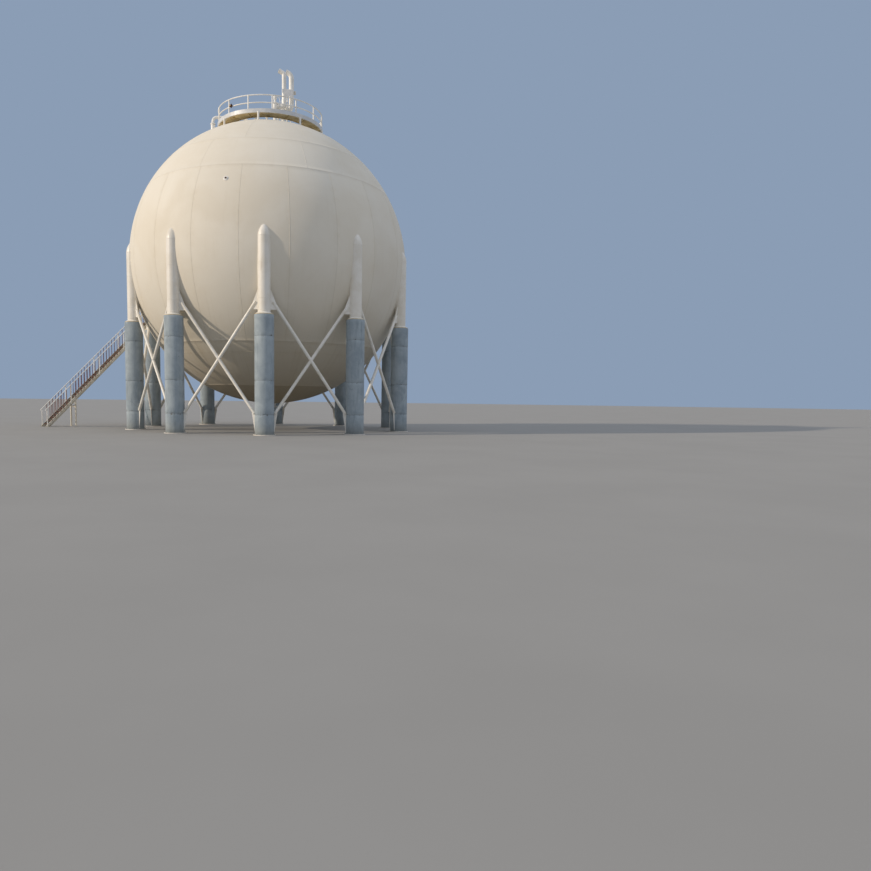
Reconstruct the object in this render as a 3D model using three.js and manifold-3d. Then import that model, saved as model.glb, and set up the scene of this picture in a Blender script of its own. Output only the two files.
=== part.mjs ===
import * as THREE from 'three';
import { mergeVertices } from 'three/addons/utils/BufferGeometryUtils.js';
import Module from 'manifold-3d';

const wasm = await Module();
wasm.setup();

// A spherical pressure tank for liquefied gas, in millimetres, +Z up.
// The origin is on the ground, on the tank's axis. One column faces -Y.
// Angles round the tank are in degrees from -Y towards +X.

// Driving dimensions of the vessel
const TANK_RADIUS = 9000;
const SHELL_WALL = 42;
const CENTRE_HEIGHT = 10750;
const CROWN_SEAM = 43.5;
const UPPER_SEAM = 28.5;
const LOWER_SEAM = -36.5;
const BOTTOM_SEAM = -61;
const SEAM_GAP = 0.3;
const SHELL_SIDES = 40;

// Driving dimensions of the columns
const COLUMN_COUNT = 10;
const COLUMN_CIRCLE = 8850;
const COLUMN_SIDES = 16;
const COLUMN_RADIUS = 355;
const SLEEVE_RADIUS = 545;
const SLEEVE_TOP = 6700;
const BASE_RADIUS = 640;
const BASE_THICKNESS = 40;
const CAP_BASE = 10950;
const CAP_TIP = 11570;
const FLASHING_RADIUS = 425;
const FLASHING_LIP = 20;
const FLASHING_HEIGHT = 110;

// Driving dimensions of the cross bracing
const BRACE_RADIUS = 84;
const BRACE_SIDES = 8;
const BRACE_HIGH = { out: 150, height: 7430 };
const BRACE_LOW = { out: 60, height: 1230 };
const GUSSET_THICKNESS = 26;

// Driving dimensions of the walkway on the crown
const DECK_UNDERSIDE = 19500;
const DECK_THICKNESS = 70;
const DECK_INNER = 2600;
const DECK_OUTER = 3425;
const KICK_HEIGHT = 160;
const KICK_THICKNESS = 18;
const DECK_POST_COUNT = 8;
const DECK_POST_RADIUS = 62;
const DECK_POST_CIRCLE = 3405;
const DECK_POST_TURN = -10.3;
const RAIL_CIRCLE = 3365;
const RAIL_HEIGHT = 970;
const MID_RAIL_HEIGHT = 500;
const RAIL_RADIUS = 28;
const RAIL_POST_RADIUS = 30;
const RAIL_POST_COUNT = 14;
const RAIL_POST_TURN = 4.2;

// Driving dimensions of the access stair, which winds down behind the tank and ends beside it
const STAIR_WIDTH = 800;
const STAIR_RADIUS = 9900;
const STRINGER_THICKNESS = 40;
const STRINGER_DEPTH = 310;
const STRINGER_LIP = 50;
const TREAD_THICKNESS = 35;
const TREAD_NOSE = 30;
const UPPER_FLIGHT = { risers: 42, going: 265, struts: [4, 12, 21, 30, 38], rungs: 5 };
const LOWER_FLIGHT = { risers: 56, going: 203, angle: 220, trestle: 46, rungs: 6 };
const MID_LANDING = { height: 11200, length: 1500, width: 900, thickness: 70 };
const TOP_LANDING_WIDTH = 900;
const STAIR_RAIL_HEIGHT = 1130;
const STAIR_RAIL_SIZE = 44;
const STAIR_POST_SIZE = 50;
const LANDING_LEG_SIZE = 84;
const STRUT_RADIUS = 45;
const FLIGHT_STRUT_RADIUS = 36;
const STRUT_DROP = 700;
const TRESTLE_SIZE = 90;

// Driving dimensions of the water spray main that runs down the shell
const SPRAY_UPPER_RADIUS = 80;
const SPRAY_LOWER_RADIUS = 135;
const SPRAY_STANDOFF = 280;
const SPRAY_HEIGHT = 20330;
const SPRAY_CROWN = [-1500, 60];
const SPRAY_DROP = [-3750, 100];
const SPRAY_BEND = 320;
const SPRAY_FOOT_ANGLE = -126;
const SPRAY_FLANGE = { height: 19930, radius: 190, thickness: 70 };
const SPRAY_FOOT = { size: 380, thickness: 30 };
const SHELL_STEPS = 6;

// Driving dimensions of the nozzles and relief valves on the crown
const FLANGE_THICKNESS = 40;
const VALVE_RADIUS = 150;
const VALVE_BODY = { below: 220, above: 200 };
const VALVE_HOOD = { radius: 195, from: 150, to: 240 };
const VALVE_OUTLET = { reach: 60, narrowing: 0.9 };
const BONNET_RADIUS = 95;
const BONNET_TOP = 21480;

// Driving dimensions of the plate, arm, clamp and legs that tie the two vent stacks together
const TIE_PLATE = {
  outline: [[787, 21624], [959, 21404], [1501, 21387], [1482, 21795], [787, 21852]],
  middle: -1145, thickness: 30,
};
const TIE_ARM = { from: 1060, to: 1450, low: 21760, high: 21840 };
const TIE_CLAMP = { length: 590, width: 400, height: 200, middle: 21890 };
const TIE_LEGS = { radius: 35, places: [[1100, -750], [1300, -720]] };

// Clearance between pieces that touch, and how deep joined pieces sink into each other
const TOUCH = 0.3;
const BURY = 30;

// How finely round pieces are faceted, and the widest step of a bend in degrees
const PIPE_SIDES = 8;
const STACK_SIDES = 12;
const BEND_STEP = 20;

const RAD = Math.PI / 180;
const COLUMN_STEP = 360 / COLUMN_COUNT;
const BAY = 2 * COLUMN_CIRCLE * Math.sin(COLUMN_STEP / 2 * RAD);

const cream = new THREE.MeshStandardMaterial({ color: 0xe6ddc9, roughness: 0.5, metalness: 0.0 });
const white = new THREE.MeshStandardMaterial({ color: 0xe9e6dd, roughness: 0.45, metalness: 0.0 });
const greyBlue = new THREE.MeshStandardMaterial({ color: 0x8496a1, roughness: 0.75, metalness: 0.0 });
const lightGrey = new THREE.MeshStandardMaterial({ color: 0xb9bfc2, roughness: 0.5, metalness: 0.2 });

const tank = new THREE.Group();

function addNode(name, material, geometry) {
  const mesh = new THREE.Mesh(geometry, material);
  mesh.name = name;
  tank.add(mesh);
  return mesh;
}

// Solids and their joins and cuts

function toSolid(geometry) {
  const bare = geometry.index ? geometry.toNonIndexed() : geometry.clone();
  bare.deleteAttribute('normal');
  bare.deleteAttribute('uv');
  const merged = mergeVertices(bare, 1e-3);
  const index = merged.index.array;
  const kept = [];
  for (let i = 0; i < index.length; i += 3) {
    const [a, b, c] = [index[i], index[i + 1], index[i + 2]];
    if (a !== b && b !== c && c !== a) kept.push(a, b, c);
  }
  const places = merged.getAttribute('position').array;
  if (volumeOf(places, kept) < 0) kept.reverse();
  return new wasm.Manifold(new wasm.Mesh({
    numProp: 3,
    vertProperties: new Float32Array(places),
    triVerts: new Uint32Array(kept),
  }));
}

function volumeOf(places, index) {
  let total = 0;
  const corner = [new THREE.Vector3(), new THREE.Vector3(), new THREE.Vector3()];
  for (let i = 0; i < index.length; i += 3) {
    corner.forEach((v, k) => v.fromArray(places, 3 * index[i + k]));
    total += corner[0].dot(corner[1].clone().cross(corner[2])) / 6;
  }
  return total;
}

function toGeometry(solid) {
  const mesh = solid.getMesh();
  const geometry = new THREE.BufferGeometry();
  geometry.setAttribute('position', new THREE.BufferAttribute(mesh.vertProperties, 3));
  geometry.setIndex(new THREE.BufferAttribute(mesh.triVerts, 1));
  geometry.computeVertexNormals();
  return geometry;
}

function join(solids) {
  return solids.reduce((all, next) => all.add(next));
}

function cut(solid, tools) {
  return tools.reduce((left, tool) => left.subtract(tool), solid);
}

// Shapes

// A profile of [radius, height] points turned about the Z axis.
function turned(profile, sides) {
  const points = profile.map(([r, z]) => new THREE.Vector2(r, z));
  const geometry = new THREE.LatheGeometry(points, sides);
  geometry.rotateX(Math.PI / 2);
  return toSolid(geometry);
}

// A ring's profile closes on itself.
function turnedRing(profile, sides) {
  return turned([...profile, profile[0]], sides);
}

// A round bar from one point to another.
function bar(from, to, radius, sides) {
  const axis = new THREE.Vector3().subVectors(to, from);
  const geometry = new THREE.CylinderGeometry(radius, radius, axis.length(), sides);
  const turn = new THREE.Quaternion().setFromUnitVectors(
    new THREE.Vector3(0, 1, 0), axis.clone().normalize());
  geometry.applyQuaternion(turn);
  const middle = new THREE.Vector3().addVectors(from, to).multiplyScalar(0.5);
  geometry.translate(middle.x, middle.y, middle.z);
  return toSolid(geometry);
}

// A route through a list of points, taken one by one, for a section to be swept along.
class Route extends THREE.Curve {
  constructor(points) {
    super();
    this.points = points;
  }

  indexAt(u) {
    return Math.round(u * (this.points.length - 1));
  }

  getPointAt(u) {
    return this.points[this.indexAt(u)].clone();
  }

  getTangentAt(u) {
    const i = this.indexAt(u);
    const from = this.points[Math.max(0, i - 1)];
    const to = this.points[Math.min(this.points.length - 1, i + 1)];
    return new THREE.Vector3().subVectors(to, from).normalize();
  }
}

// A solid round bar through a list of points, with flat ends.
function swept(points, radius, sides) {
  const section = new THREE.Shape();
  for (let i = 0; i < sides; i++) {
    const angle = 2 * Math.PI * i / sides;
    const [x, y] = [radius * Math.cos(angle), radius * Math.sin(angle)];
    if (i === 0) section.moveTo(x, y);
    else section.lineTo(x, y);
  }
  section.closePath();
  const extrudePath = new Route(points);
  return toSolid(new THREE.ExtrudeGeometry(section, { steps: points.length - 1, extrudePath }));
}

// A pipe along straight runs that meet in bends, each bend a curve of short steps.
function pipeRun(corners, radius, bend, sides) {
  const points = [corners[0]];
  corners.slice(1, -1).forEach((corner, i) => {
    const before = new THREE.Vector3().subVectors(corner, corners[i]).normalize();
    const after = new THREE.Vector3().subVectors(corners[i + 2], corner).normalize();
    const start = corner.clone().addScaledVector(before, -bend);
    const end = corner.clone().addScaledVector(after, bend);
    const steps = Math.max(2, Math.ceil(before.angleTo(after) / (BEND_STEP * RAD)));
    points.push(...new THREE.QuadraticBezierCurve3(start, corner, end).getPoints(steps));
  });
  points.push(corners.at(-1));
  return swept(points, radius, sides);
}

// A flat plate cut to an outline of [x, z] points, standing upright along the X axis.
function uprightPlate(outline, thickness) {
  const shape = new THREE.Shape(outline.map(([x, z]) => new THREE.Vector2(x, z)));
  const geometry = new THREE.ExtrudeGeometry(shape, { depth: thickness, bevelEnabled: false });
  geometry.translate(0, 0, -thickness / 2);
  geometry.rotateX(Math.PI / 2);
  return toSolid(geometry);
}

// A block whose length lies along a level heading.
function block(length, width, height, centre, heading) {
  const geometry = new THREE.BoxGeometry(length, width, height);
  geometry.rotateZ(Math.atan2(heading.y, heading.x));
  geometry.translate(centre.x, centre.y, centre.z);
  return toSolid(geometry);
}

// The place at an angle round the tank.
function around(angle, radius, height) {
  return new THREE.Vector3(
    radius * Math.sin(angle * RAD), -radius * Math.cos(angle * RAD), height);
}

// The level directions away from the tank's axis and round it, at an angle.
const outwards = angle => around(angle, 1, 0);
const onwards = angle => around(angle + 90, 1, 0);

// The shell

const seams = [90, CROWN_SEAM, UPPER_SEAM, LOWER_SEAM, BOTTOM_SEAM, -90];
const beltRows = [5, 2, 7, 3, 3];
const beltNames = ['top_crown', 'upper_belt', 'equator_belt', 'lower_belt', 'bottom_crown'];

// Latitudes of one belt's rows, from its upper seam to its lower one.
function beltLatitudes(belt) {
  const [top, bottom] = [seams[belt], seams[belt + 1]];
  const rows = beltRows[belt];
  return Array.from({ length: rows + 1 }, (_, i) => top + (bottom - top) * i / rows);
}

function onMeridian(latitude, radius, drop = 0) {
  const reach = Math.abs(latitude) === 90 ? 0 : radius * Math.cos(latitude * RAD);
  return [reach, CENTRE_HEIGHT + radius * Math.sin(latitude * RAD) + drop];
}

// A belt starts just under the seam, clear of the belt above it. The two crowns end on the axis.
function beltSolid(belt) {
  const skin = radius => beltLatitudes(belt).map((latitude, i) => {
    const drop = (i === 0 && belt > 0) ? -SEAM_GAP : 0;
    return onMeridian(latitude, radius, drop);
  });
  const outer = skin(TANK_RADIUS);
  const inner = skin(TANK_RADIUS - SHELL_WALL).reverse();
  if (belt === 0) return turned([...outer, ...inner], SHELL_SIDES);
  if (belt === beltNames.length - 1) return turned([...inner, ...outer], SHELL_SIDES);
  return turnedRing([...outer, ...inner], SHELL_SIDES);
}

// The whole sphere with the shell's own facets, grown by a little, to cut what touches it.
function sphereCutter(grow) {
  const latitudes = beltNames.flatMap((_, belt) => beltLatitudes(belt).slice(belt ? 1 : 0));
  return turned(latitudes.map(latitude => onMeridian(latitude, TANK_RADIUS + grow)), SHELL_SIDES);
}

const sphere = sphereCutter(TOUCH);

// Nozzles welded to the crowns: a neck and a flange, whose face is at flangeHeight.
// The first two carry the relief valves, and the widest is the manhole.
const topNozzles = [
  { angle: 17.6, reach: 1049, radius: 110, flangeHeight: 20180, flange: 190 },
  { angle: 60, reach: 950, radius: 110, flangeHeight: 20230, flange: 190 },
  { angle: -75, reach: 900, radius: 300, flangeHeight: 20080, flange: 390 },
  { angle: 180, reach: 1300, radius: 80, flangeHeight: 20050, flange: 150 },
];
const BOTTOM_MANHOLE = { radius: 300, flange: 390, flangeHeight: 1480 };

function nozzle(place, radius, flange, from, to) {
  const neck = bar(place.clone().setZ(from), place.clone().setZ(to), radius, COLUMN_SIDES);
  const direction = Math.sign(to - from);
  const disc = bar(place.clone().setZ(to - direction * FLANGE_THICKNESS), place.clone().setZ(to),
    flange, COLUMN_SIDES);
  return neck.add(disc);
}

function heightOnCrown(reach) {
  return CENTRE_HEIGHT + Math.sqrt(TANK_RADIUS ** 2 - reach ** 2);
}

beltNames.forEach((name, belt) => {
  let solid = beltSolid(belt);
  if (name === 'top_crown') {
    for (const { angle, reach, radius, flangeHeight, flange } of topNozzles) {
      const foot = heightOnCrown(reach) - SHELL_WALL;
      solid = solid.add(nozzle(around(angle, reach, 0), radius, flange, foot, flangeHeight));
    }
  }
  if (name === 'bottom_crown') {
    const foot = CENTRE_HEIGHT - TANK_RADIUS + SHELL_WALL / 2;
    const { radius, flange, flangeHeight } = BOTTOM_MANHOLE;
    solid = solid.add(nozzle(around(0, 0, 0), radius, flange, foot, flangeHeight));
  }
  addNode(name, cream, toGeometry(solid));
});

// The columns

const capRise = CAP_TIP - CAP_BASE;
const capShape = [[0.9, 0.25], [0.68, 0.54], [0.34, 0.83]];
const columnProfile = [
  [0, 0],
  [BASE_RADIUS, 0],
  [BASE_RADIUS, BASE_THICKNESS],
  [COLUMN_RADIUS, BASE_THICKNESS],
  [COLUMN_RADIUS, SLEEVE_TOP + TOUCH],
  [FLASHING_RADIUS, SLEEVE_TOP + TOUCH],
  [FLASHING_RADIUS, SLEEVE_TOP + FLASHING_LIP],
  [COLUMN_RADIUS, SLEEVE_TOP + FLASHING_HEIGHT],
  [COLUMN_RADIUS, CAP_BASE],
  ...capShape.map(([width, rise]) => [COLUMN_RADIUS * width, CAP_BASE + capRise * rise]),
  [0, CAP_TIP],
];
const sleeveProfile = [
  [COLUMN_RADIUS + TOUCH, BASE_THICKNESS + TOUCH],
  [SLEEVE_RADIUS, BASE_THICKNESS + TOUCH],
  [SLEEVE_RADIUS, SLEEVE_TOP],
  [COLUMN_RADIUS + TOUCH, SLEEVE_TOP],
];

// The column at compass angle 0 stands on -Y.
const standing = solid => solid.translate([0, -COLUMN_CIRCLE, 0]);
const column = cut(standing(turned(columnProfile, COLUMN_SIDES)), [sphere]);
const sleeve = standing(turnedRing(sleeveProfile, COLUMN_SIDES));

function numbered(name, index) {
  return `${name}_${String(index + 1).padStart(2, '0')}`;
}

for (let i = 0; i < COLUMN_COUNT; i++) {
  const turn = i * COLUMN_STEP * RAD;
  addNode(numbered('column', i), cream, toGeometry(column)).rotation.z = turn;
  addNode(numbered('column_sleeve', i), greyBlue, toGeometry(sleeve)).rotation.z = turn;
}

// The cross bracing, drawn across one bay. A gusset's outline is [distance from the pipe or
// sleeve, height], and it starts inside the pipe or sleeve, which then cuts it.

const highGusset = [[-BURY, 8060], [30, 8060], [390, 7190], [330, 6990], [-BURY, 6990]]
  .map(([out, z]) => [COLUMN_RADIUS + out, z]);
const lowGusset = [[-BURY, 1280], [150, 1460], [200, 1220], [15, 90], [-BURY, 90]]
  .map(([out, z]) => [SLEEVE_RADIUS + out, z]);
const mirrored = outline => outline.map(([x, z]) => [BAY - x, z]);

function braceBar(fromLeft) {
  const high = [COLUMN_RADIUS + BRACE_HIGH.out, BRACE_HIGH.height];
  const low = [BAY - SLEEVE_RADIUS - BRACE_LOW.out, BRACE_LOW.height];
  const ends = [high, low].map(([x, z]) => new THREE.Vector3(fromLeft ? x : BAY - x, 0, z));
  return bar(ends[0], ends[1], BRACE_RADIUS, BRACE_SIDES);
}

// The bay between columns 1 and 2: its left end is on column 1, and it is turned into place.
function intoBay(solid) {
  return solid.rotate([0, 0, COLUMN_STEP / 2]).translate([0, -COLUMN_CIRCLE, 0]);
}

const plates = [highGusset, lowGusset, mirrored(highGusset), mirrored(lowGusset)]
  .map(outline => uprightPlate(outline, GUSSET_THICKNESS));
const bracing = intoBay(join([braceBar(true), braceBar(false), ...plates]));
const grownColumn = standing(turned([
  [0, -BURY],
  [SLEEVE_RADIUS + TOUCH, -BURY],
  [SLEEVE_RADIUS + TOUCH, SLEEVE_TOP + TOUCH],
  [FLASHING_RADIUS + TOUCH, SLEEVE_TOP + TOUCH],
  [FLASHING_RADIUS + TOUCH, SLEEVE_TOP + FLASHING_LIP + TOUCH],
  [COLUMN_RADIUS + TOUCH, SLEEVE_TOP + FLASHING_HEIGHT + TOUCH],
  [COLUMN_RADIUS + TOUCH, CAP_BASE],
  [0, CAP_BASE],
], COLUMN_SIDES));
const brace = cut(bracing, [grownColumn, grownColumn.rotate([0, 0, COLUMN_STEP]), sphere]);

for (let i = 0; i < COLUMN_COUNT; i++) {
  addNode(numbered('cross_brace', i), white, toGeometry(brace)).rotation.z = i * COLUMN_STEP * RAD;
}

// The line of the stair: stations on the walking line, each with its level heading and its right side

const deckTop = DECK_UNDERSIDE + DECK_THICKNESS;
const midStart = LOWER_FLIGHT.angle - MID_LANDING.length / STAIR_RADIUS / RAD;
const up = new THREE.Vector3(0, 0, 1);

function station(place, heading) {
  return { place, heading, side: new THREE.Vector3(heading.y, -heading.x, 0) };
}

// The upper flight stays level with the shell's curve. From its head it runs straight down the
// shell, and where that would be too steep it turns round the tank.
function upperStations() {
  const { risers, going } = UPPER_FLIGHT;
  const rise = (deckTop - MID_LANDING.height) / risers;
  const reach = Math.hypot(STAIR_RADIUS, MID_LANDING.height - CENTRE_HEIGHT);
  const heights = Array.from({ length: risers + 1 }, (_, i) => deckTop - i * rise);
  const radii = heights.map(z => Math.sqrt(reach ** 2 - (z - CENTRE_HEIGHT) ** 2));
  const angles = [midStart];
  for (let i = risers; i > 0; i--) {
    const spread = radii[i] - radii[i - 1];
    const round = Math.sqrt(Math.max(0, going ** 2 - spread ** 2));
    angles.unshift(angles[0] - 2 * round / (radii[i] + radii[i - 1]) / RAD);
  }
  const places = heights.map((z, i) => around(angles[i], radii[i], z));
  return places.map((place, i) => {
    let heading = i === 0 ? outwards(angles[0]) : onwards(angles[i]);
    if (i > 0 && i < risers) {
      heading = new THREE.Vector3().subVectors(places[i + 1], places[i - 1]).setZ(0).normalize();
    }
    return station(place, heading);
  });
}

// The lower flight is straight. It is drawn along +X from the mid landing's edge.
function lowerStations() {
  const { risers, going } = LOWER_FLIGHT;
  const rise = MID_LANDING.height / risers;
  const heading = new THREE.Vector3(1, 0, 0);
  return Array.from({ length: risers + 1 }, (_, i) =>
    station(new THREE.Vector3(i * going, 0, MID_LANDING.height - i * rise), heading));
}

// It leaves the mid landing at a tangent to the tank.
function intoLowerFlight(mesh) {
  mesh.position.copy(around(LOWER_FLIGHT.angle, STAIR_RADIUS, 0));
  mesh.rotation.z = LOWER_FLIGHT.angle * RAD;
}

const SIDES = { inner: -1, outer: 1 };
const upperLine = upperStations();
const lowerLine = lowerStations();
const lowerEnds = [lowerLine[0], lowerLine.at(-1)];
const headAngle = Math.atan2(upperLine[0].place.x, -upperLine[0].place.y) / RAD;
const headReach = Math.hypot(upperLine[0].place.x, upperLine[0].place.y);

// A bar of rectangular section that follows the stations, offset to their right and lifted.
function strip(stations, offset, lift, width, height) {
  const spans = stations.length - 1;
  const geometry = new THREE.BoxGeometry(1, 1, 1, 1, 1, spans);
  const places = geometry.getAttribute('position');
  for (let i = 0; i < places.count; i++) {
    const { place, side } = stations[Math.round((places.getZ(i) + 0.5) * spans)];
    const corner = place.clone()
      .addScaledVector(side, offset + places.getX(i) * width)
      .addScaledVector(up, lift + places.getY(i) * height);
    places.setXYZ(i, corner.x, corner.y, corner.z);
  }
  return toSolid(geometry);
}

// The walkway round the crown, with a gap where the stair's top landing joins it

const kickTop = deckTop + KICK_HEIGHT;

function deckRing(grow) {
  return turnedRing([
    [DECK_INNER, DECK_UNDERSIDE - grow],
    [DECK_OUTER + grow, DECK_UNDERSIDE - grow],
    [DECK_OUTER + grow, kickTop + grow],
    [DECK_OUTER - KICK_THICKNESS - grow, kickTop + grow],
    [DECK_OUTER - KICK_THICKNESS - grow, deckTop + grow],
    [DECK_INNER, deckTop + grow],
  ], SHELL_SIDES);
}
const deckPosts = Array.from({ length: DECK_POST_COUNT }, (_, i) => {
  const angle = DECK_POST_TURN + i * 360 / DECK_POST_COUNT;
  const foot = around(angle, DECK_POST_CIRCLE, heightOnCrown(DECK_POST_CIRCLE) - 2 * BURY);
  const head = around(angle, DECK_POST_CIRCLE, DECK_UNDERSIDE + DECK_THICKNESS / 2);
  return bar(foot, head, DECK_POST_RADIUS, BRACE_SIDES);
});

// A gate through what stands on the deck's edge, from the deck up.
function gate(width, from, to) {
  const centre = around(headAngle, DECK_OUTER, (from + to) / 2);
  return block(DECK_INNER / 3, width, to - from, centre, outwards(headAngle));
}

const kickGate = gate(TOP_LANDING_WIDTH, deckTop, kickTop + BURY);
const deck = cut(join([deckRing(0), ...deckPosts]), [sphere, kickGate]);
addNode('walkway_deck', white, toGeometry(deck));

const railTop = deckTop + RAIL_HEIGHT - RAIL_RADIUS;
const midRail = deckTop + MID_RAIL_HEIGHT;

function hoop(height) {
  const geometry = new THREE.TorusGeometry(RAIL_CIRCLE, RAIL_RADIUS, 5, 2 * RAIL_POST_COUNT);
  geometry.translate(0, 0, height);
  return toSolid(geometry);
}

// The posts stand at equal steps, apart from those in the gate, which has a post at each side.
const gateHalfAngle = Math.asin(TOP_LANDING_WIDTH / 2 / RAIL_CIRCLE) / RAD;
const gateClearAngle = 1.5 * gateHalfAngle;
const postStep = 360 / RAIL_POST_COUNT;
const postAngles = Array.from({ length: RAIL_POST_COUNT }, (_, i) => RAIL_POST_TURN + i * postStep)
  .filter(angle => Math.abs(angle - headAngle) > gateClearAngle);
postAngles.push(headAngle - gateHalfAngle, headAngle + gateHalfAngle);
const railPosts = postAngles.map(angle => {
  const foot = around(angle, RAIL_CIRCLE, deckTop + TOUCH);
  return bar(foot, foot.clone().setZ(railTop), RAIL_POST_RADIUS, 4);
});
const railGate = gate(TOP_LANDING_WIDTH, deckTop + BURY, railTop + 2 * BURY);
const hoops = [railTop, midRail].map(height => cut(hoop(height), [railGate]));
addNode('walkway_rail', white, toGeometry(join([...hoops, ...railPosts])));

// The stair's landings

function squarePost(place, heading, from, to, size) {
  return block(size, size, to - from, place.clone().setZ((from + to) / 2), heading);
}

// Rails and a kick plate on one side of a landing, between two stations.
function landingSide(ends, offset, height) {
  const posts = ends.map(({ place, heading, side }) => squarePost(
    place.clone().addScaledVector(side, offset), heading,
    height, height + RAIL_HEIGHT, STAIR_POST_SIZE));
  const rails = [RAIL_HEIGHT - STAIR_RAIL_SIZE / 2, MID_RAIL_HEIGHT]
    .map(lift => strip(ends, offset, lift, STAIR_RAIL_SIZE, STAIR_RAIL_SIZE));
  return [...posts, ...rails, strip(ends, offset, KICK_HEIGHT / 2, KICK_THICKNESS, KICK_HEIGHT)];
}

const landingEdge = (TOP_LANDING_WIDTH - STAIR_RAIL_SIZE) / 2;
const topEnds = [DECK_OUTER + 2 * STAIR_RAIL_SIZE, headReach - STAIR_RAIL_SIZE]
  .map(radius => station(around(headAngle, radius, deckTop), outwards(headAngle)));
const topPlate = block(headReach - TOUCH - DECK_OUTER + BURY, TOP_LANDING_WIDTH, DECK_THICKNESS,
  around(headAngle, (headReach - TOUCH + DECK_OUTER - BURY) / 2, deckTop - DECK_THICKNESS / 2),
  outwards(headAngle));
const topLegs = [-landingEdge, landingEdge].map(offset => {
  const head = topEnds[1].place.clone().addScaledVector(topEnds[1].side, offset);
  const reach = Math.hypot(head.x, head.y);
  const foot = heightOnCrown(reach + LANDING_LEG_SIZE) - BURY;
  return squarePost(head, outwards(headAngle), foot, DECK_UNDERSIDE + BURY, LANDING_LEG_SIZE);
});
const topLanding = join([
  topPlate, ...topLegs,
  ...landingSide(topEnds, -landingEdge, deckTop), ...landingSide(topEnds, landingEdge, deckTop),
]);
addNode('stair_top_landing', white, toGeometry(cut(topLanding, [deckRing(TOUCH), sphere])));

const midHalf = MID_LANDING.width / 2;
const slack = TOUCH / STAIR_RADIUS / RAD;
const midAngles = [midStart + slack, LOWER_FLIGHT.angle - slack];
const midOutline = [
  around(midAngles[0], STAIR_RADIUS - midHalf, 0), around(midAngles[0], STAIR_RADIUS + midHalf, 0),
  around(midAngles[1], STAIR_RADIUS + midHalf, 0), around(midAngles[1], STAIR_RADIUS - midHalf, 0),
];
const midPlate = new THREE.ExtrudeGeometry(
  new THREE.Shape(midOutline.map(({ x, y }) => new THREE.Vector2(x, y))),
  { depth: MID_LANDING.thickness, bevelEnabled: false });
midPlate.translate(0, 0, MID_LANDING.height - MID_LANDING.thickness);
const strutAngles = [midStart + 1, LOWER_FLIGHT.angle - 1];
const midEnds = strutAngles
  .map(angle => station(around(angle, STAIR_RADIUS, MID_LANDING.height), onwards(angle)));
const underMid = MID_LANDING.height - MID_LANDING.thickness / 2;
const midStruts = strutAngles.flatMap(angle => [
  bar(around(angle, STAIR_RADIUS + midHalf - 2 * STRUT_RADIUS, underMid),
    around(angle, TANK_RADIUS - 2 * BURY, CENTRE_HEIGHT - STRUT_DROP), STRUT_RADIUS, PIPE_SIDES),
  bar(around(angle, STAIR_RADIUS, underMid - STRUT_RADIUS),
    around(angle, TANK_RADIUS - BURY, underMid - STRUT_RADIUS), STRUT_RADIUS, PIPE_SIDES),
]);
const midSideOffset = midHalf - STAIR_RAIL_SIZE;
const midLanding = join([
  toSolid(midPlate), ...midStruts,
  ...landingSide(midEnds, -midSideOffset, MID_LANDING.height),
  ...landingSide(midEnds, midSideOffset, MID_LANDING.height),
]);
addNode('stair_mid_landing', white, toGeometry(cut(midLanding, [sphere])));

// The stair's flights: two stringers and open treads, and a handrail beside each stringer

const stringerOffset = (STAIR_WIDTH - STRINGER_THICKNESS) / 2;
const stringerLift = STRINGER_LIP - STRINGER_DEPTH / 2;
const railOffset = (STAIR_WIDTH + STAIR_POST_SIZE) / 2 + TOUCH;
const ground = block(4 * TANK_RADIUS, 2 * TANK_RADIUS, TANK_RADIUS,
  new THREE.Vector3(0, 0, -TANK_RADIUS / 2), new THREE.Vector3(1, 0, 0));

function stringer(ends, side) {
  return strip(ends, side * stringerOffset, stringerLift, STRINGER_THICKNESS, STRINGER_DEPTH);
}

function treads(stations) {
  return stations.slice(1, -1).map(({ place }, i) => {
    const back = stations[i].place;
    const heading = new THREE.Vector3().subVectors(place, back).setZ(0);
    const length = heading.length() + TREAD_NOSE;
    const centre = back.clone().lerp(place, 0.5).setZ(place.z - TREAD_THICKNESS / 2);
    centre.addScaledVector(heading.normalize(), TREAD_NOSE / 2);
    const width = STAIR_WIDTH - STRINGER_THICKNESS;
    return block(length, width, TREAD_THICKNESS, centre, heading);
  });
}

// Each post stands against the stringer, halfway between two stations, where its side is flat.
function handrail(stations, ends, side, rungs) {
  const offset = side * railOffset;
  const lift = STAIR_RAIL_HEIGHT - STAIR_RAIL_SIZE / 2;
  const spans = stations.length - 1;
  const posts = Array.from({ length: rungs + 1 }, (_, i) => {
    const span = Math.min(spans - 1, Math.round(i * spans / rungs));
    const [before, after] = [stations[span].place, stations[span + 1].place];
    const heading = new THREE.Vector3().subVectors(after, before).setZ(0).normalize();
    const middle = station(before.clone().lerp(after, 0.5), heading);
    const foot = Math.max(middle.place.z - STRINGER_DEPTH / 2, TOUCH);
    return squarePost(middle.place.clone().addScaledVector(middle.side, offset), heading,
      foot, middle.place.z + STAIR_RAIL_HEIGHT + STAIR_POST_SIZE / 2, STAIR_POST_SIZE);
  });
  return join([strip(ends, offset, lift, STAIR_RAIL_SIZE, STAIR_RAIL_SIZE), ...posts]);
}

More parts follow.
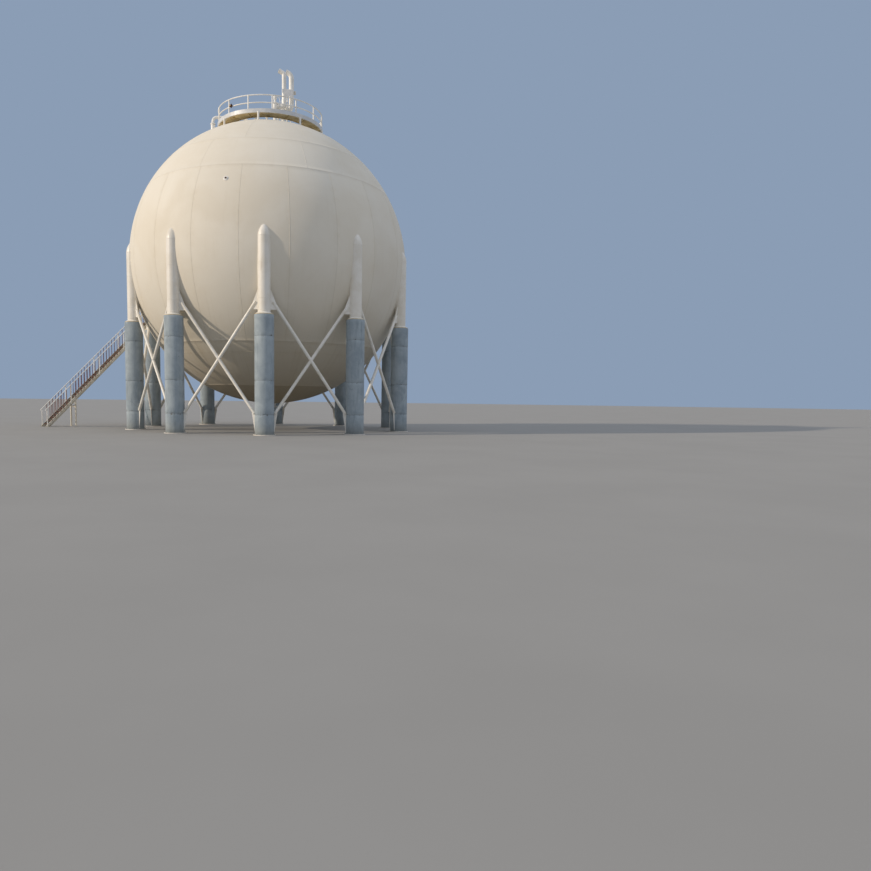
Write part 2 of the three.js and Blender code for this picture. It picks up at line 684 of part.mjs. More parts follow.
const centre = new THREE.Vector3(0, 0, CENTRE_HEIGHT);
const upperStruts = UPPER_FLIGHT.struts.flatMap(index => Object.values(SIDES).map(side => {
  const { place, side: right } = upperLine[index];
  const head = place.clone().addScaledVector(right, side * stringerOffset)
    .addScaledVector(up, stringerLift);
  const foot = head.clone().sub(centre).setLength(TANK_RADIUS - 2 * BURY).add(centre);
  return bar(head, foot, FLIGHT_STRUT_RADIUS, PIPE_SIDES);
}));
const upperFlight = join([
  stringer(upperLine, SIDES.inner), stringer(upperLine, SIDES.outer), ...treads(upperLine), ...upperStruts,
]);
addNode('stair_upper_flight', white, toGeometry(cut(upperFlight, [sphere])));

// The lower flight also rests on a trestle of two posts and a crossbar.
const trestleTop = lowerLine[LOWER_FLIGHT.trestle];
const trestle = Object.values(SIDES).map(side => squarePost(
  trestleTop.place.clone().addScaledVector(trestleTop.side, side * stringerOffset), trestleTop.heading,
  0, trestleTop.place.z - STRINGER_DEPTH / 2, TRESTLE_SIZE));
trestle.push(block(TRESTLE_SIZE / 2, STAIR_WIDTH - STRINGER_THICKNESS, TRESTLE_SIZE,
  trestleTop.place.clone().setZ(trestleTop.place.z - 2 * STRINGER_DEPTH), trestleTop.heading));
const lowerFlight = join([
  stringer(lowerEnds, SIDES.inner), stringer(lowerEnds, SIDES.outer), ...treads(lowerLine), ...trestle,
]);
intoLowerFlight(addNode('stair_lower_flight', white, toGeometry(cut(lowerFlight, [ground]))));

for (const [name, side] of Object.entries(SIDES)) {
  addNode(`upper_handrail_${name}`, white,
    toGeometry(handrail(upperLine, upperLine, side, UPPER_FLIGHT.rungs)));
  intoLowerFlight(addNode(`lower_handrail_${name}`, white,
    toGeometry(handrail(lowerLine, lowerEnds, side, LOWER_FLIGHT.rungs))));
}

// The relief valves and their vent stacks

const reliefSets = [
  {
    number: 1, nozzle: 0, outletHeight: 20780, stack: [898, -1000], stackRadius: 141, bend: 230,
    bendHeight: 22830, tip: [581, -1000, 22995],
  },
  {
    number: 2, nozzle: 1, outletHeight: 20830, stack: [1355, -475], stackRadius: 161, bend: 250,
    bendHeight: 23010, tip: [1027, -475, 23157],
  },
];

for (const set of reliefSets) {
  const base = topNozzles[set.nozzle];
  const foot = around(base.angle, base.reach, base.flangeHeight + TOUCH);
  const at = z => foot.clone().setZ(z);
  const outlet = set.outletHeight;
  const stackFoot = new THREE.Vector3(set.stack[0], set.stack[1], outlet);
  const outward = new THREE.Vector3().subVectors(stackFoot, at(outlet)).normalize();
  const outletFace = at(outlet).addScaledVector(outward, VALVE_RADIUS + VALVE_OUTLET.reach);
  const valve = join([
    bar(foot, at(foot.z + FLANGE_THICKNESS), base.flange, STACK_SIDES),
    bar(foot, at(outlet), base.radius, STACK_SIDES),
    bar(at(outlet - VALVE_BODY.below), at(outlet + VALVE_BODY.above), VALVE_RADIUS, STACK_SIDES),
    bar(at(outlet + VALVE_HOOD.from), at(outlet + VALVE_HOOD.to), VALVE_HOOD.radius, STACK_SIDES),
    bar(at(outlet + VALVE_BODY.above), at(BONNET_TOP), BONNET_RADIUS, STACK_SIDES),
    bar(at(outlet), outletFace, set.stackRadius * VALVE_OUTLET.narrowing, STACK_SIDES),
  ]);
  addNode(`relief_valve_${set.number}`, white, toGeometry(valve));

  const start = outletFace.clone().addScaledVector(outward, TOUCH);
  const top = stackFoot.clone().setZ(set.bendHeight);
  const tip = new THREE.Vector3(...set.tip);
  const stack = pipeRun([start, stackFoot, top, tip], set.stackRadius, set.bend, STACK_SIDES);
  addNode(`vent_stack_${set.number}`, white, toGeometry(stack));
}

// The tie plate stands against the first stack. An arm behind it, on two legs, clamps the second.
const eastwards = new THREE.Vector3(1, 0, 0);
const [clampX, clampY] = reliefSets[1].stack;
const tiePlate = uprightPlate(TIE_PLATE.outline, TIE_PLATE.thickness).translate([0, TIE_PLATE.middle, 0]);
const tieClamp = block(TIE_CLAMP.length, TIE_CLAMP.width, TIE_CLAMP.height,
  new THREE.Vector3(clampX, clampY, TIE_CLAMP.middle), eastwards);
const tieArm = block(TIE_ARM.to - TIE_ARM.from, clampY - TIE_PLATE.middle, TIE_ARM.high - TIE_ARM.low,
  new THREE.Vector3((TIE_ARM.from + TIE_ARM.to) / 2, (clampY + TIE_PLATE.middle) / 2,
    (TIE_ARM.low + TIE_ARM.high) / 2), eastwards);
const tieLegs = TIE_LEGS.places.map(([x, y]) => bar(
  new THREE.Vector3(x, y, heightOnCrown(Math.hypot(x, y)) - BURY),
  new THREE.Vector3(x, y, TIE_ARM.low + BURY), TIE_LEGS.radius, PIPE_SIDES));
const stackHoles = reliefSets.map(({ stack, stackRadius }) => bar(
  new THREE.Vector3(...stack, TIE_PLATE.outline[2][1] - BURY),
  new THREE.Vector3(...stack, TIE_CLAMP.middle + TIE_CLAMP.height),
  stackRadius + TOUCH, STACK_SIDES));
const tie = join([tiePlate, tieClamp, tieArm, ...tieLegs]);
addNode('stack_tie_plate', lightGrey, toGeometry(cut(tie, [...stackHoles, sphere])));

// The water spray main: up from the crown, out through the guard rail and down the shell

const sprayReach = TANK_RADIUS + SPRAY_STANDOFF;
const crownFoot = new THREE.Vector3(...SPRAY_CROWN, heightOnCrown(Math.hypot(...SPRAY_CROWN)) - BURY);
const drop = new THREE.Vector3(...SPRAY_DROP, SPRAY_HEIGHT);
const flangePlace = drop.clone().setZ(SPRAY_FLANGE.height);
const upperMain = pipeRun([
  crownFoot, crownFoot.clone().setZ(SPRAY_HEIGHT), drop, flangePlace,
], SPRAY_UPPER_RADIUS, SPRAY_BEND, PIPE_SIDES);

// Where the main meets the shell it turns to follow it, and swings round to the bay behind.
const dropReach = Math.hypot(...SPRAY_DROP);
const dropAngle = Math.atan2(SPRAY_DROP[0], -SPRAY_DROP[1]) / RAD;
const dropLatitude = Math.acos(dropReach / sprayReach) / RAD;
const alongShell = Array.from({ length: SHELL_STEPS }, (_, i) => {
  const part = i / (SHELL_STEPS - 1);
  const latitude = dropLatitude * (1 - part);
  const swing = (1 - Math.cos(Math.PI * part)) / 2;
  const [radius, height] = onMeridian(latitude, sprayReach);
  return around(dropAngle + (SPRAY_FOOT_ANGLE - dropAngle) * swing, radius, height);
});
const mainFoot = around(SPRAY_FOOT_ANGLE, sprayReach, 0);
const lowerMain = pipeRun([flangePlace, ...alongShell, mainFoot], SPRAY_LOWER_RADIUS, SPRAY_BEND, PIPE_SIDES);
const footHeading = outwards(SPRAY_FOOT_ANGLE);
const footPlate = block(SPRAY_FOOT.size, SPRAY_FOOT.size, SPRAY_FOOT.thickness,
  mainFoot.clone().setZ(SPRAY_FOOT.thickness / 2), footHeading);
const mainFlange = bar(flangePlace, flangePlace.clone().setZ(SPRAY_FLANGE.height - SPRAY_FLANGE.thickness),
  SPRAY_FLANGE.radius, PIPE_SIDES);
const standoffs = alongShell.slice(1).map(place => {
  const foot = place.clone().sub(centre).setLength(TANK_RADIUS - BURY).add(centre);
  return bar(place, foot, SPRAY_LOWER_RADIUS / 3, PIPE_SIDES);
});
const midKick = kickTop - KICK_HEIGHT / 2;
const deckBracket = bar(flangePlace.clone().setZ(midKick),
  around(dropAngle, DECK_OUTER - KICK_THICKNESS, midKick), SPRAY_UPPER_RADIUS / 2, PIPE_SIDES);
const sprayMain = join([upperMain, lowerMain, footPlate, mainFlange, deckBracket, ...standoffs]);
addNode('spray_main', white, toGeometry(cut(sprayMain, [sphere, deckRing(TOUCH)])));

export default tank;
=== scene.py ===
# A spherical gas tank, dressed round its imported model, in metres with +Z up.
# The origin is on the ground, on the tank's axis. One column faces -Y.
# Angles round the tank are in degrees from -Y towards +X.
import math
import random

import bmesh
import bpy
from mathutils import Matrix, Vector, noise


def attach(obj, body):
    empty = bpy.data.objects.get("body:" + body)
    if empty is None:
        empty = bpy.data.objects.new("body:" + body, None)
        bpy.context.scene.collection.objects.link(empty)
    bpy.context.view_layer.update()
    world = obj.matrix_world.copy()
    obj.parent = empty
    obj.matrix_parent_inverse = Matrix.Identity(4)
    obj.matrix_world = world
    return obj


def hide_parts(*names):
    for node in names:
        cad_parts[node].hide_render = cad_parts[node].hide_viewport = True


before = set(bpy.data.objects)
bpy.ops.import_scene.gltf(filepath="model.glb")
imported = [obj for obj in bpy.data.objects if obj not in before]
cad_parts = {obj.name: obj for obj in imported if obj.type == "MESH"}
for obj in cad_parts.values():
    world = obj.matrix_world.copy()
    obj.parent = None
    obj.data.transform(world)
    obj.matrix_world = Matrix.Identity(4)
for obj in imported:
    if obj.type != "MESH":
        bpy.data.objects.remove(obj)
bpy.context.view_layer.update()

UP = Vector((0, 0, 1))

# The vessel
TANK_RADIUS = 9.0
SHELL_WALL = 0.042
CENTRE_HEIGHT = 10.75
CENTRE = Vector((0, 0, CENTRE_HEIGHT))
CROWN_SEAM, UPPER_SEAM, LOWER_SEAM, BOTTOM_SEAM = 43.5, 28.5, -36.5, -61.0
NARROW_RING_SEAM = -41.6
SHELL_STEPS = 180
BEAD_HEIGHT, BEAD_WIDTH = 0.0065, 0.04

# The columns
COLUMN_COUNT = 10
COLUMN_STEP = 360 / COLUMN_COUNT
COLUMN_CIRCLE = 8.85
COLUMN_RADIUS = 0.355
SLEEVE_RADIUS = 0.545
SLEEVE_TOP = 6.7
SLEEVE_JOINTS = [1.15, 3.05, 5.5]
BASE_RADIUS, BASE_THICKNESS = 0.64, 0.04
CAP_BASE, CAP_TIP = 10.95, 11.63
COLUMN_WELDS = [6.93, 7.6, 9.5, CAP_BASE]
FLASHING_RADIUS, FLASHING_LIP, FLASHING_HEIGHT = 0.515, 0.035, 0.11

# The cross bracing
BAY = 2 * COLUMN_CIRCLE * math.sin(math.radians(COLUMN_STEP / 2))
BRACE_RADIUS = 0.09
BRACE_HIGH = (COLUMN_RADIUS + 0.15, 7.43)
BRACE_LOW = (BAY - SLEEVE_RADIUS - 0.06, 1.23)
GUSSET_THICKNESS = 0.026

# The walkway on the crown
DECK_UNDERSIDE, DECK_THICKNESS = 19.5, 0.07
DECK_TOP = DECK_UNDERSIDE + DECK_THICKNESS
DECK_INNER, DECK_OUTER = 2.6, 3.425
KICK_HEIGHT, KICK_THICKNESS = 0.16, 0.018
DECK_POST_COUNT, DECK_POST_TURN = 8, -10.3
DECK_POST_CIRCLE, DECK_POST_RADIUS = 3.405, 0.062
DECK_RIB_COUNT = 16
RAIL_CIRCLE, RAIL_HEIGHT, MID_RAIL_HEIGHT = 3.365, 1.01, 0.52
RAIL_RADIUS, RAIL_POST_RADIUS = 0.035, 0.045
RAIL_POST_COUNT, RAIL_POST_TURN = 14, 4.2
MESH_PITCH, MESH_WIRE = 0.085, 0.008
MESH_SPAN = (79, 118)
LAMP = {"angle": -42.5, "height": 20.09}

# The stair
STAIR_WIDTH, STAIR_RADIUS = 0.8, 9.9
STRINGER_THICKNESS, STRINGER_DEPTH, STRINGER_LIP = 0.04, 0.31, 0.05
TREAD_THICKNESS, TREAD_NOSE = 0.035, 0.03
UPPER_FLIGHT = {"risers": 42, "going": 0.265, "struts": [4, 12, 21, 30, 38], "rungs": 5}
LOWER_FLIGHT = {"risers": 56, "going": 0.203, "angle": 220, "trestle": 46, "rungs": 6}
MID_HEIGHT, MID_LENGTH, MID_WIDTH, MID_THICKNESS = 11.2, 1.5, 0.9, 0.07
TOP_LANDING_WIDTH = 0.9
STAIR_RAIL_HEIGHT, STAIR_RAIL_SIZE, STAIR_POST_SIZE = 1.13, 0.044, 0.05
LANDING_LEG_SIZE = 0.084
STRUT_RADIUS, FLIGHT_STRUT_RADIUS, STRUT_DROP = 0.045, 0.036, 0.7
TRESTLE_SIZE = 0.09
BALUSTER_SIZE = 0.028
HANDRAIL_RADIUS = 0.034

# The relief valves and vent stacks
FLANGE_THICKNESS = 0.04
TOP_NOZZLES = [
    {"angle": 17.6, "reach": 1.049, "radius": 0.11, "height": 20.18, "flange": 0.19},
    {"angle": 60, "reach": 0.95, "radius": 0.11, "height": 20.23, "flange": 0.19},
    {"angle": -75, "reach": 0.9, "radius": 0.3, "height": 20.08, "flange": 0.39},
    {"angle": 180, "reach": 1.3, "radius": 0.08, "height": 20.05, "flange": 0.15},
]
SMALL_NOZZLES = [(-0.883, 0.06), (-0.183, 0.07), (0.544, 0.06), (1.089, 0.05)]
BOTTOM_MANHOLE = {"radius": 0.3, "flange": 0.39, "height": 1.48}
SIDE_NOZZLE = {"angle": -14.7, "latitude": 22.2, "bore": 0.065, "pad": 0.15}
RELIEF_SETS = [
    {"number": 1, "nozzle": 0, "outlet": 20.78, "stack": (0.898, -1.0), "radius": 0.141,
     "foot_bend": 0.23, "head_bend": 0.11, "bend_height": 22.83, "tip": (0.581, -1.0, 22.995)},
    {"number": 2, "nozzle": 1, "outlet": 20.83, "stack": (1.355, -0.475), "radius": 0.161,
     "foot_bend": 0.25, "head_bend": 0.25, "bend_height": 23.01, "tip": (1.027, -0.475, 23.157)},
]
VALVE_RADIUS, VALVE_OUTLET = 0.16, 0.06
BONNET_RADIUS, BONNET_TOP = 0.105, 21.49
TIE_PLATE = {"outline": [(0.787, 21.624), (0.959, 21.404), (1.501, 21.387), (1.482, 21.795), (0.787, 21.852)],
             "middle": -1.145, "thickness": 0.03}
TIE_ARM = {"from": 1.06, "to": 1.45, "low": 21.76, "high": 21.84}
TIE_CLAMP = {"length": 0.59, "width": 0.4, "height": 0.2, "middle": 21.89}
TIE_LEGS = {"radius": 0.035, "places": [(1.1, -0.75), (1.3, -0.72)]}

# The water spray main
SPRAY_UPPER_RADIUS, SPRAY_LOWER_RADIUS = 0.092, 0.135
SPRAY_STANDOFF, SPRAY_HEIGHT, SPRAY_BEND = 0.28, 20.33, 0.32
SPRAY_CROWN, SPRAY_DROP = (-1.5, 0.06), (-3.75, 0.1)
SPRAY_FOOT_ANGLE = -126
SPRAY_FLANGE = {"height": 19.93, "radius": 0.165, "thickness": 0.07}
SPRAY_FOOT_SIZE, SPRAY_FOOT_THICKNESS = 0.38, 0.03
SPRAY_STEPS = 6


def around(angle, radius, height=0.0):
    """The place at an angle round the tank."""
    turn = math.radians(angle)
    return Vector((radius * math.sin(turn), -radius * math.cos(turn), height))


def outwards(angle):
    return around(angle, 1)


def onwards(angle):
    return around(angle + 90, 1)


def on_shell(angle, latitude, radius=TANK_RADIUS):
    lift = math.radians(latitude)
    return around(angle, radius * math.cos(lift), CENTRE_HEIGHT + radius * math.sin(lift))


def height_on_crown(reach):
    return CENTRE_HEIGHT + math.sqrt(TANK_RADIUS ** 2 - reach ** 2)


def place(origin, x_axis, y_axis, z_axis):
    """A matrix from its origin and its three directions."""
    matrix = Matrix((x_axis, y_axis, z_axis)).transposed().to_4x4()
    matrix.translation = origin
    return matrix


def upright(origin, heading):
    """A place whose X is a level heading and whose Z is up."""
    level = Vector((heading[0], heading[1], 0)).normalized()
    return place(origin, level, UP.cross(level), UP)


def facing(origin, direction):
    """A place whose Z points in a direction."""
    z_axis = Vector(direction).normalized()
    hint = UP if abs(z_axis.z) < 0.9 else Vector((1, 0, 0))
    x_axis = hint.cross(z_axis).normalized()
    return place(origin, x_axis, z_axis.cross(x_axis), z_axis)


def standing(angle):
    """The place of a column, with X outwards."""
    return upright(around(angle, COLUMN_CIRCLE), outwards(angle))


# Materials

def linear(colour):
    """A hex colour such as "e6ddc9" as linear values."""
    parts = [int(colour[i:i + 2], 16) / 255 for i in (0, 2, 4)]
    curve = [p / 12.92 if p <= 0.04045 else ((p + 0.055) / 1.055) ** 2.4 for p in parts]
    return (*curve, 1.0)


def add_node(tree, kind, links=None, **settings):
    """Adds a node. links are its inputs by name or number: an output to join, or a plain value."""
    node = tree.nodes.new(kind)
    for name, value in settings.items():
        setattr(node, name, value)
    for name, value in (links or {}).items():
        if isinstance(value, bpy.types.NodeSocket):
            tree.links.new(value, node.inputs[name])
        else:
            node.inputs[name].default_value = value
    return node


class Finish:
    """A material in the making, with the sums and patterns that its finish is drawn with."""

    def __init__(self, name, roughness, metallic=0.0, coat=0.0):
        self.material = bpy.data.materials.new(name)
        self.material.use_nodes = True
        self.tree = self.material.node_tree
        self.shader = self.tree.nodes["Principled BSDF"]
        self.shader.inputs["Metallic"].default_value = metallic
        self.shader.inputs["Roughness"].default_value = roughness
        if coat:
            self.shader.inputs["Coat Weight"].default_value = coat
            self.shader.inputs["Coat Roughness"].default_value = 0.3
        coordinates = add_node(self.tree, "ShaderNodeTexCoord")
        self.point = coordinates.outputs["Object"]

    def sum(self, operation, *values):
        links = dict(enumerate(values))
        return add_node(self.tree, "ShaderNodeMath", links, operation=operation).outputs[0]

    def stretched(self, scale, shift=(0, 0, 0)):
        links = {"Vector": self.point, "Scale": scale, "Location": shift}
        return add_node(self.tree, "ShaderNodeMapping", links).outputs[0]

    def cloud(self, size_mm, vector=None, detail=4.0, rough=0.55, warp=0.0):
        """A soft random pattern whose blotches are about size_mm across."""
        links = {"Vector": vector or self.point, "Scale": 1000 / size_mm, "Detail": detail,
                 "Roughness": rough, "Distortion": warp}
        return add_node(self.tree, "ShaderNodeTexNoise", links).outputs[0]

    def band(self, value, low, high, start=0.0, end=1.0):
        """The value where it passes from low to high, as a smooth step from start to end."""
        links = {"Value": value, "From Min": low, "From Max": high, "To Min": start, "To Max": end}
        return add_node(self.tree, "ShaderNodeMapRange", links,
                        interpolation_type="SMOOTHSTEP").outputs[0]

    def mix(self, share, first, second):
        """Two colours mixed. A colour is a hex word or an output."""
        pair = [linear(c) if isinstance(c, str) else c for c in (first, second)]
        node = add_node(self.tree, "ShaderNodeMix", {0: share, 6: pair[0], 7: pair[1]},
                        data_type="RGBA")
        return node.outputs[2]

    def split(self):
        return add_node(self.tree, "ShaderNodeSeparateXYZ", {0: self.point}).outputs

    def bump(self, height, distance_mm, strength=1.0):
        links = {"Height": height, "Distance": distance_mm / 1000, "Strength": strength}
        node = add_node(self.tree, "ShaderNodeBump", links)
        self.tree.links.new(node.outputs[0], self.shader.inputs["Normal"])

    def done(self, colour, roughness=None):
        self.tree.links.new(colour, self.shader.inputs["Base Color"])
        if roughness is not None:
            self.tree.links.new(roughness, self.shader.inputs["Roughness"])
        return self.material


def tank_paint(name, petals, petal_turn, girths, low_shade_and_dirt=0.0, seam_share=0.1):
    """Alkyd tank enamel, rolled on over welded plate: chalky cream with a dull sheen. Weather
    greys it, rain draws fine streaks down it, and each plate keeps a tone of its own. The weld
    lines are drawn about 60 mm wide, wider than real ones, so that they show from afar."""
    finish = Finish(name, roughness=0.7)
    x, y, z = finish.split()
    angle = finish.sum("ARCTAN2", x, finish.sum("MULTIPLY", y, -1))
    rise = finish.sum("DIVIDE", finish.sum("SUBTRACT", z, CENTRE_HEIGHT), TANK_RADIUS)
    latitude = finish.sum("ARCSINE", rise)
    reach = finish.sum("MULTIPLY", finish.sum("COSINE", latitude), TANK_RADIUS)
    step = 2 * math.pi / petals
    turned = finish.sum("SUBTRACT", finish.sum("DIVIDE", angle, step), math.radians(petal_turn) / step)
    count = finish.sum("FLOOR", finish.sum("ADD", turned, 0.5))
    aside = finish.sum("MULTIPLY", finish.sum("ABSOLUTE", finish.sum("SUBTRACT", turned, count)), step)
    gap = finish.sum("MULTIPLY", aside, reach)
    for girth in girths:
        off = finish.sum("SUBTRACT", latitude, math.radians(girth))
        gap = finish.sum("MINIMUM", gap, finish.sum("MULTIPLY", finish.sum("ABSOLUTE", off), TANK_RADIUS))
    seam = finish.band(gap, 0.02, 0.055, 1, 0)
    grime = finish.band(gap, 0.03, 0.35, 1, 0)

    plate = finish.sum("FLOOR", turned)
    tone = add_node(finish.tree, "ShaderNodeTexWhiteNoise", {"W": plate},
                    noise_dimensions="1D").outputs[0]
    weather = finish.cloud(3200, detail=5, warp=0.4)
    sideways = finish.sum("MULTIPLY", angle, TANK_RADIUS)
    run = add_node(finish.tree, "ShaderNodeCombineXYZ",
                   {0: sideways, 1: finish.sum("MULTIPLY", z, 0.09), 2: 0.0}).outputs[0]
    streak = finish.cloud(260, run, detail=3)
    fine_streak = finish.cloud(90, run, detail=2)
    low = finish.band(latitude, math.radians(-75), math.radians(5), 1, 0)

    colour = finish.mix(finish.band(weather, 0.3, 0.72), "ebe5d7", "e4dccb")
    colour = finish.mix(finish.sum("MULTIPLY", tone, 0.25), colour, "dad6cc")
    runs = finish.sum("MULTIPLY", finish.band(streak, 0.52, 0.78), finish.band(low, 0, 1, 0.05, 0.35))
    colour = finish.mix(runs, colour, "c0b497")
    thin = finish.sum("MULTIPLY", finish.band(fine_streak, 0.58, 0.8), finish.band(low, 0, 1, 0.03, 0.25))
    colour = finish.mix(thin, colour, "ab9f87")
    # Darker and browner towards the bottom: painted shade under the sphere, where the ground sends back little light,
    # with some dirt. low_shade_and_dirt deepens it on the lower belts.
    colour = finish.mix(finish.sum("MULTIPLY", low, 0.52 + low_shade_and_dirt), colour, "8b7e65")
    broken = finish.sum("MULTIPLY", grime, finish.band(finish.cloud(500), 0.42, 0.7, 0, seam_share))
    colour = finish.mix(broken, colour, "c0ad86")
    colour = finish.mix(finish.sum("MULTIPLY", seam, seam_share), colour, "a69b85")
    rough = finish.band(weather, 0.3, 0.8, 0.62, 0.78)
    peel = finish.cloud(45, detail=2)
    ripple = finish.sum("ADD", finish.sum("MULTIPLY", peel, 0.1), finish.cloud(1500, detail=1))
    finish.bump(ripple, 5, 0.35)
    return finish.done(colour, rough)


def painted_steel(name, base, worn, rust_share=0.0, rough=0.42, size_mm=300):
    """Brushed-on gloss enamel over steel: even and smooth, a little chalked, and where the paint
    has failed a brown rust stain comes through and bleeds downwards."""
    finish = Finish(name, roughness=rough, coat=0.15)
    colour = finish.mix(finish.band(finish.cloud(size_mm), 0.35, 0.7), base, worn)
    drips = finish.cloud(size_mm / 3, finish.stretched((1, 1, 0.25)), detail=6, rough=0.62)
    colour = finish.mix(finish.band(drips, 0.6, 0.8, 0, 0.22), colour, "9c8b6d")
    if rust_share:
        patch = finish.cloud(size_mm * 0.8, detail=6, rough=0.68, warp=0.3)
        edge = 0.74 - rust_share
        colour = finish.mix(finish.band(patch, edge, edge + 0.05, 0, 0.5), colour, "b98d5a")
        core = finish.band(patch, edge + 0.05, edge + 0.09)
        rusty = finish.mix(finish.cloud(30), "5a3220", "8d5530")
        colour = finish.mix(core, colour, rusty)
    finish.bump(finish.cloud(18, detail=3), 0.8, 0.3)
    return finish.done(colour, finish.band(drips, 0.3, 0.8, rough - 0.06, rough + 0.18))


def fireproofing(name):
    """Cement fireproofing trowelled round the pipe and painted blue-grey: matt, a little lumpy,
    stained by rain, with dark cracks where the paint has chipped off at the day joints."""
    finish = Finish(name, roughness=0.82)
    height = finish.split()[2]
    patches = finish.cloud(700, detail=6, rough=0.6, warp=0.5)
    colour = finish.mix(finish.band(patches, 0.32, 0.7), "a7b3ba", "929fa8")
    rain = finish.cloud(170, finish.stretched((1, 1, 0.12)), detail=4)
    colour = finish.mix(finish.band(rain, 0.5, 0.78, 0, 0.45), colour, "727f87")
    chalk = finish.cloud(240, finish.stretched((1, 1, 0.3), (7, 3, 1)), detail=5)
    colour = finish.mix(finish.band(chalk, 0.56, 0.8, 0, 0.5), colour, "b2c0c4")
    warp = finish.cloud(220, detail=3)
    joint = None
    for level in SLEEVE_JOINTS:
        waver = finish.sum("ADD", height, finish.sum("MULTIPLY", finish.sum("SUBTRACT", warp, 0.5), 0.16))
        off = finish.sum("ABSOLUTE", finish.sum("SUBTRACT", waver, level))
        joint = off if joint is None else finish.sum("MINIMUM", joint, off)
    crack = finish.band(joint, 0.008, 0.03, 1, 0)
    chip_noise = finish.cloud(150, detail=5, rough=0.7)
    near = finish.band(joint, 0.02, 0.12, 0.12, 0)
    chips = finish.band(finish.sum("ADD", chip_noise, near), 0.7, 0.74)
    hairline = add_node(finish.tree, "ShaderNodeTexVoronoi",
                        {"Vector": finish.stretched((1, 1, 0.6)), "Scale": 0.9},
                        feature="DISTANCE_TO_EDGE").outputs[0]
    hair = finish.sum("MULTIPLY", finish.band(hairline, 0.001, 0.005, 1, 0),
                      finish.band(finish.cloud(900), 0.5, 0.62, 0, 0.4))
    bare = finish.mix(finish.cloud(60), "4c4a45", "7b756a")
    colour = finish.mix(finish.sum("MAXIMUM", chips, finish.sum("MULTIPLY", crack, 0.15)), colour, bare)
    colour = finish.mix(hair, colour, "4a5258")
    splash = finish.band(height, 0.05, 0.9, 0.45, 0)
    colour = finish.mix(splash, colour, "77766b")
    relief = finish.sum("SUBTRACT", finish.cloud(120, detail=4), finish.sum("MULTIPLY", chips, 0.8))
    finish.bump(finish.sum("SUBTRACT", relief, crack), 9, 0.5)
    return finish.done(colour, finish.band(patches, 0.3, 0.7, 0.74, 0.9))


def rusted_plate(name):
    """Chequer plate whose paint has gone: brown mill rust, rough and dull, with pale scraps of
    primer left in the corners."""
    finish = Finish(name, roughness=0.85)
    rust = finish.mix(finish.band(finish.cloud(90, detail=6, rough=0.7), 0.3, 0.7), "37201a", "6b3a27")
    colour = finish.mix(finish.band(finish.cloud(320, detail=5), 0.58, 0.7, 0, 0.5), rust, "b9a98c")
    finish.bump(finish.cloud(14, detail=4), 1.5, 0.6)
    return finish.done(colour)


def zinc_steel(name):
    """Hot-dip galvanised bolts: dull grey zinc, spangled, with a brown rim of rust."""
    finish = Finish(name, roughness=0.5, metallic=0.8)
    colour = finish.mix(finish.band(finish.cloud(12), 0.3, 0.7), "8f9496", "b4b7b8")
    colour = finish.mix(finish.band(finish.cloud(40, detail=5), 0.55, 0.7, 0, 0.8), colour, "7a5238")
    return finish.done(colour)


def dark_rust(name):
    """Bare steel left open to the rain: deep brown scale, almost black in its hollows."""
    finish = Finish(name, roughness=0.9)
    colour = finish.mix(finish.cloud(35, detail=5), "2a1a14", "5d3522")
    finish.bump(finish.cloud(10), 1, 0.5)
    return finish.done(colour)


def lamp_glass(name):
    """A moulded glass bowl: clear, glossy and faintly amber from age."""
    finish = Finish(name, roughness=0.12)
    finish.shader.inputs["IOR"].default_value = 1.5
    colour = finish.mix(finish.band(finish.cloud(60), 0.3, 0.7), "cfae7c", "e0c79c")
    return finish.done(colour)


PAINT = {
    "crown": tank_paint("alkyd_tank_enamel_crown", 11, -10.5, [CROWN_SEAM], seam_share=0.03),
    "upper": tank_paint("alkyd_tank_enamel_upper_belt", 8, 17.4, [CROWN_SEAM, UPPER_SEAM], seam_share=0.05),
    "equator": tank_paint("alkyd_tank_enamel_equator", 20, 9, [UPPER_SEAM, LOWER_SEAM]),
    # The lower belt and the bottom are drawn darker still: more painted shade under the sphere, with dirt.
    "lower": tank_paint("alkyd_tank_enamel_lower_belt", 20, 0,
                        [LOWER_SEAM, NARROW_RING_SEAM, BOTTOM_SEAM], low_shade_and_dirt=0.12),
    "bottom": tank_paint("alkyd_tank_enamel_bottom", 8, 12, [BOTTOM_SEAM], low_shade_and_dirt=0.3),
}
CREAM_STEEL = painted_steel("gloss_enamel_cream_on_pipe", "f0ece3", "e6e0d3", size_mm=900)
WHITE_STEEL = painted_steel("gloss_enamel_white_on_pipe", "f3f2ee", "e8e6df", 0.01, size_mm=500)
BRACE_STEEL = painted_steel("gloss_enamel_white_on_bracing", "f0ede6", "e2ddd1", 0.03, size_mm=420)
DECK_STEEL = painted_steel("weathered_khaki_primer_on_deck", "ddcea5", "c2b185", 0.04, 0.6, size_mm=450)
STAIR_STEEL = painted_steel("gloss_enamel_cream_on_stair", "e8e2d4", "d8cfba", 0.04, 0.5, size_mm=350)
GREY_STEEL = painted_steel("gloss_enamel_pale_grey_plate", "d9dbdd", "caced2", 0.01, size_mm=300)
PRIMED_STEEL = painted_steel("red_oxide_primer_on_bar", "7b3a30", "62302a", 0.12, 0.7, size_mm=200)
STAINED_STEEL = painted_steel("rust_stained_enamel_on_flashing", "d9c79c", "b99f6b", 0.16, 0.6, size_mm=260)
CEMENT = fireproofing("painted_cement_fireproofing")
TREAD_PLATE = rusted_plate("rusted_chequer_plate")
ZINC = zinc_steel("galvanised_steel")
SCALE = dark_rust("rust_scale")
GLASS = lamp_glass("moulded_glass")


# Shapes

def cleaned(bm):
    bmesh.ops.remove_doubles(bm, verts=bm.verts, dist=1e-5)
    bmesh.ops.recalc_face_normals(bm, faces=bm.faces)
    return bm


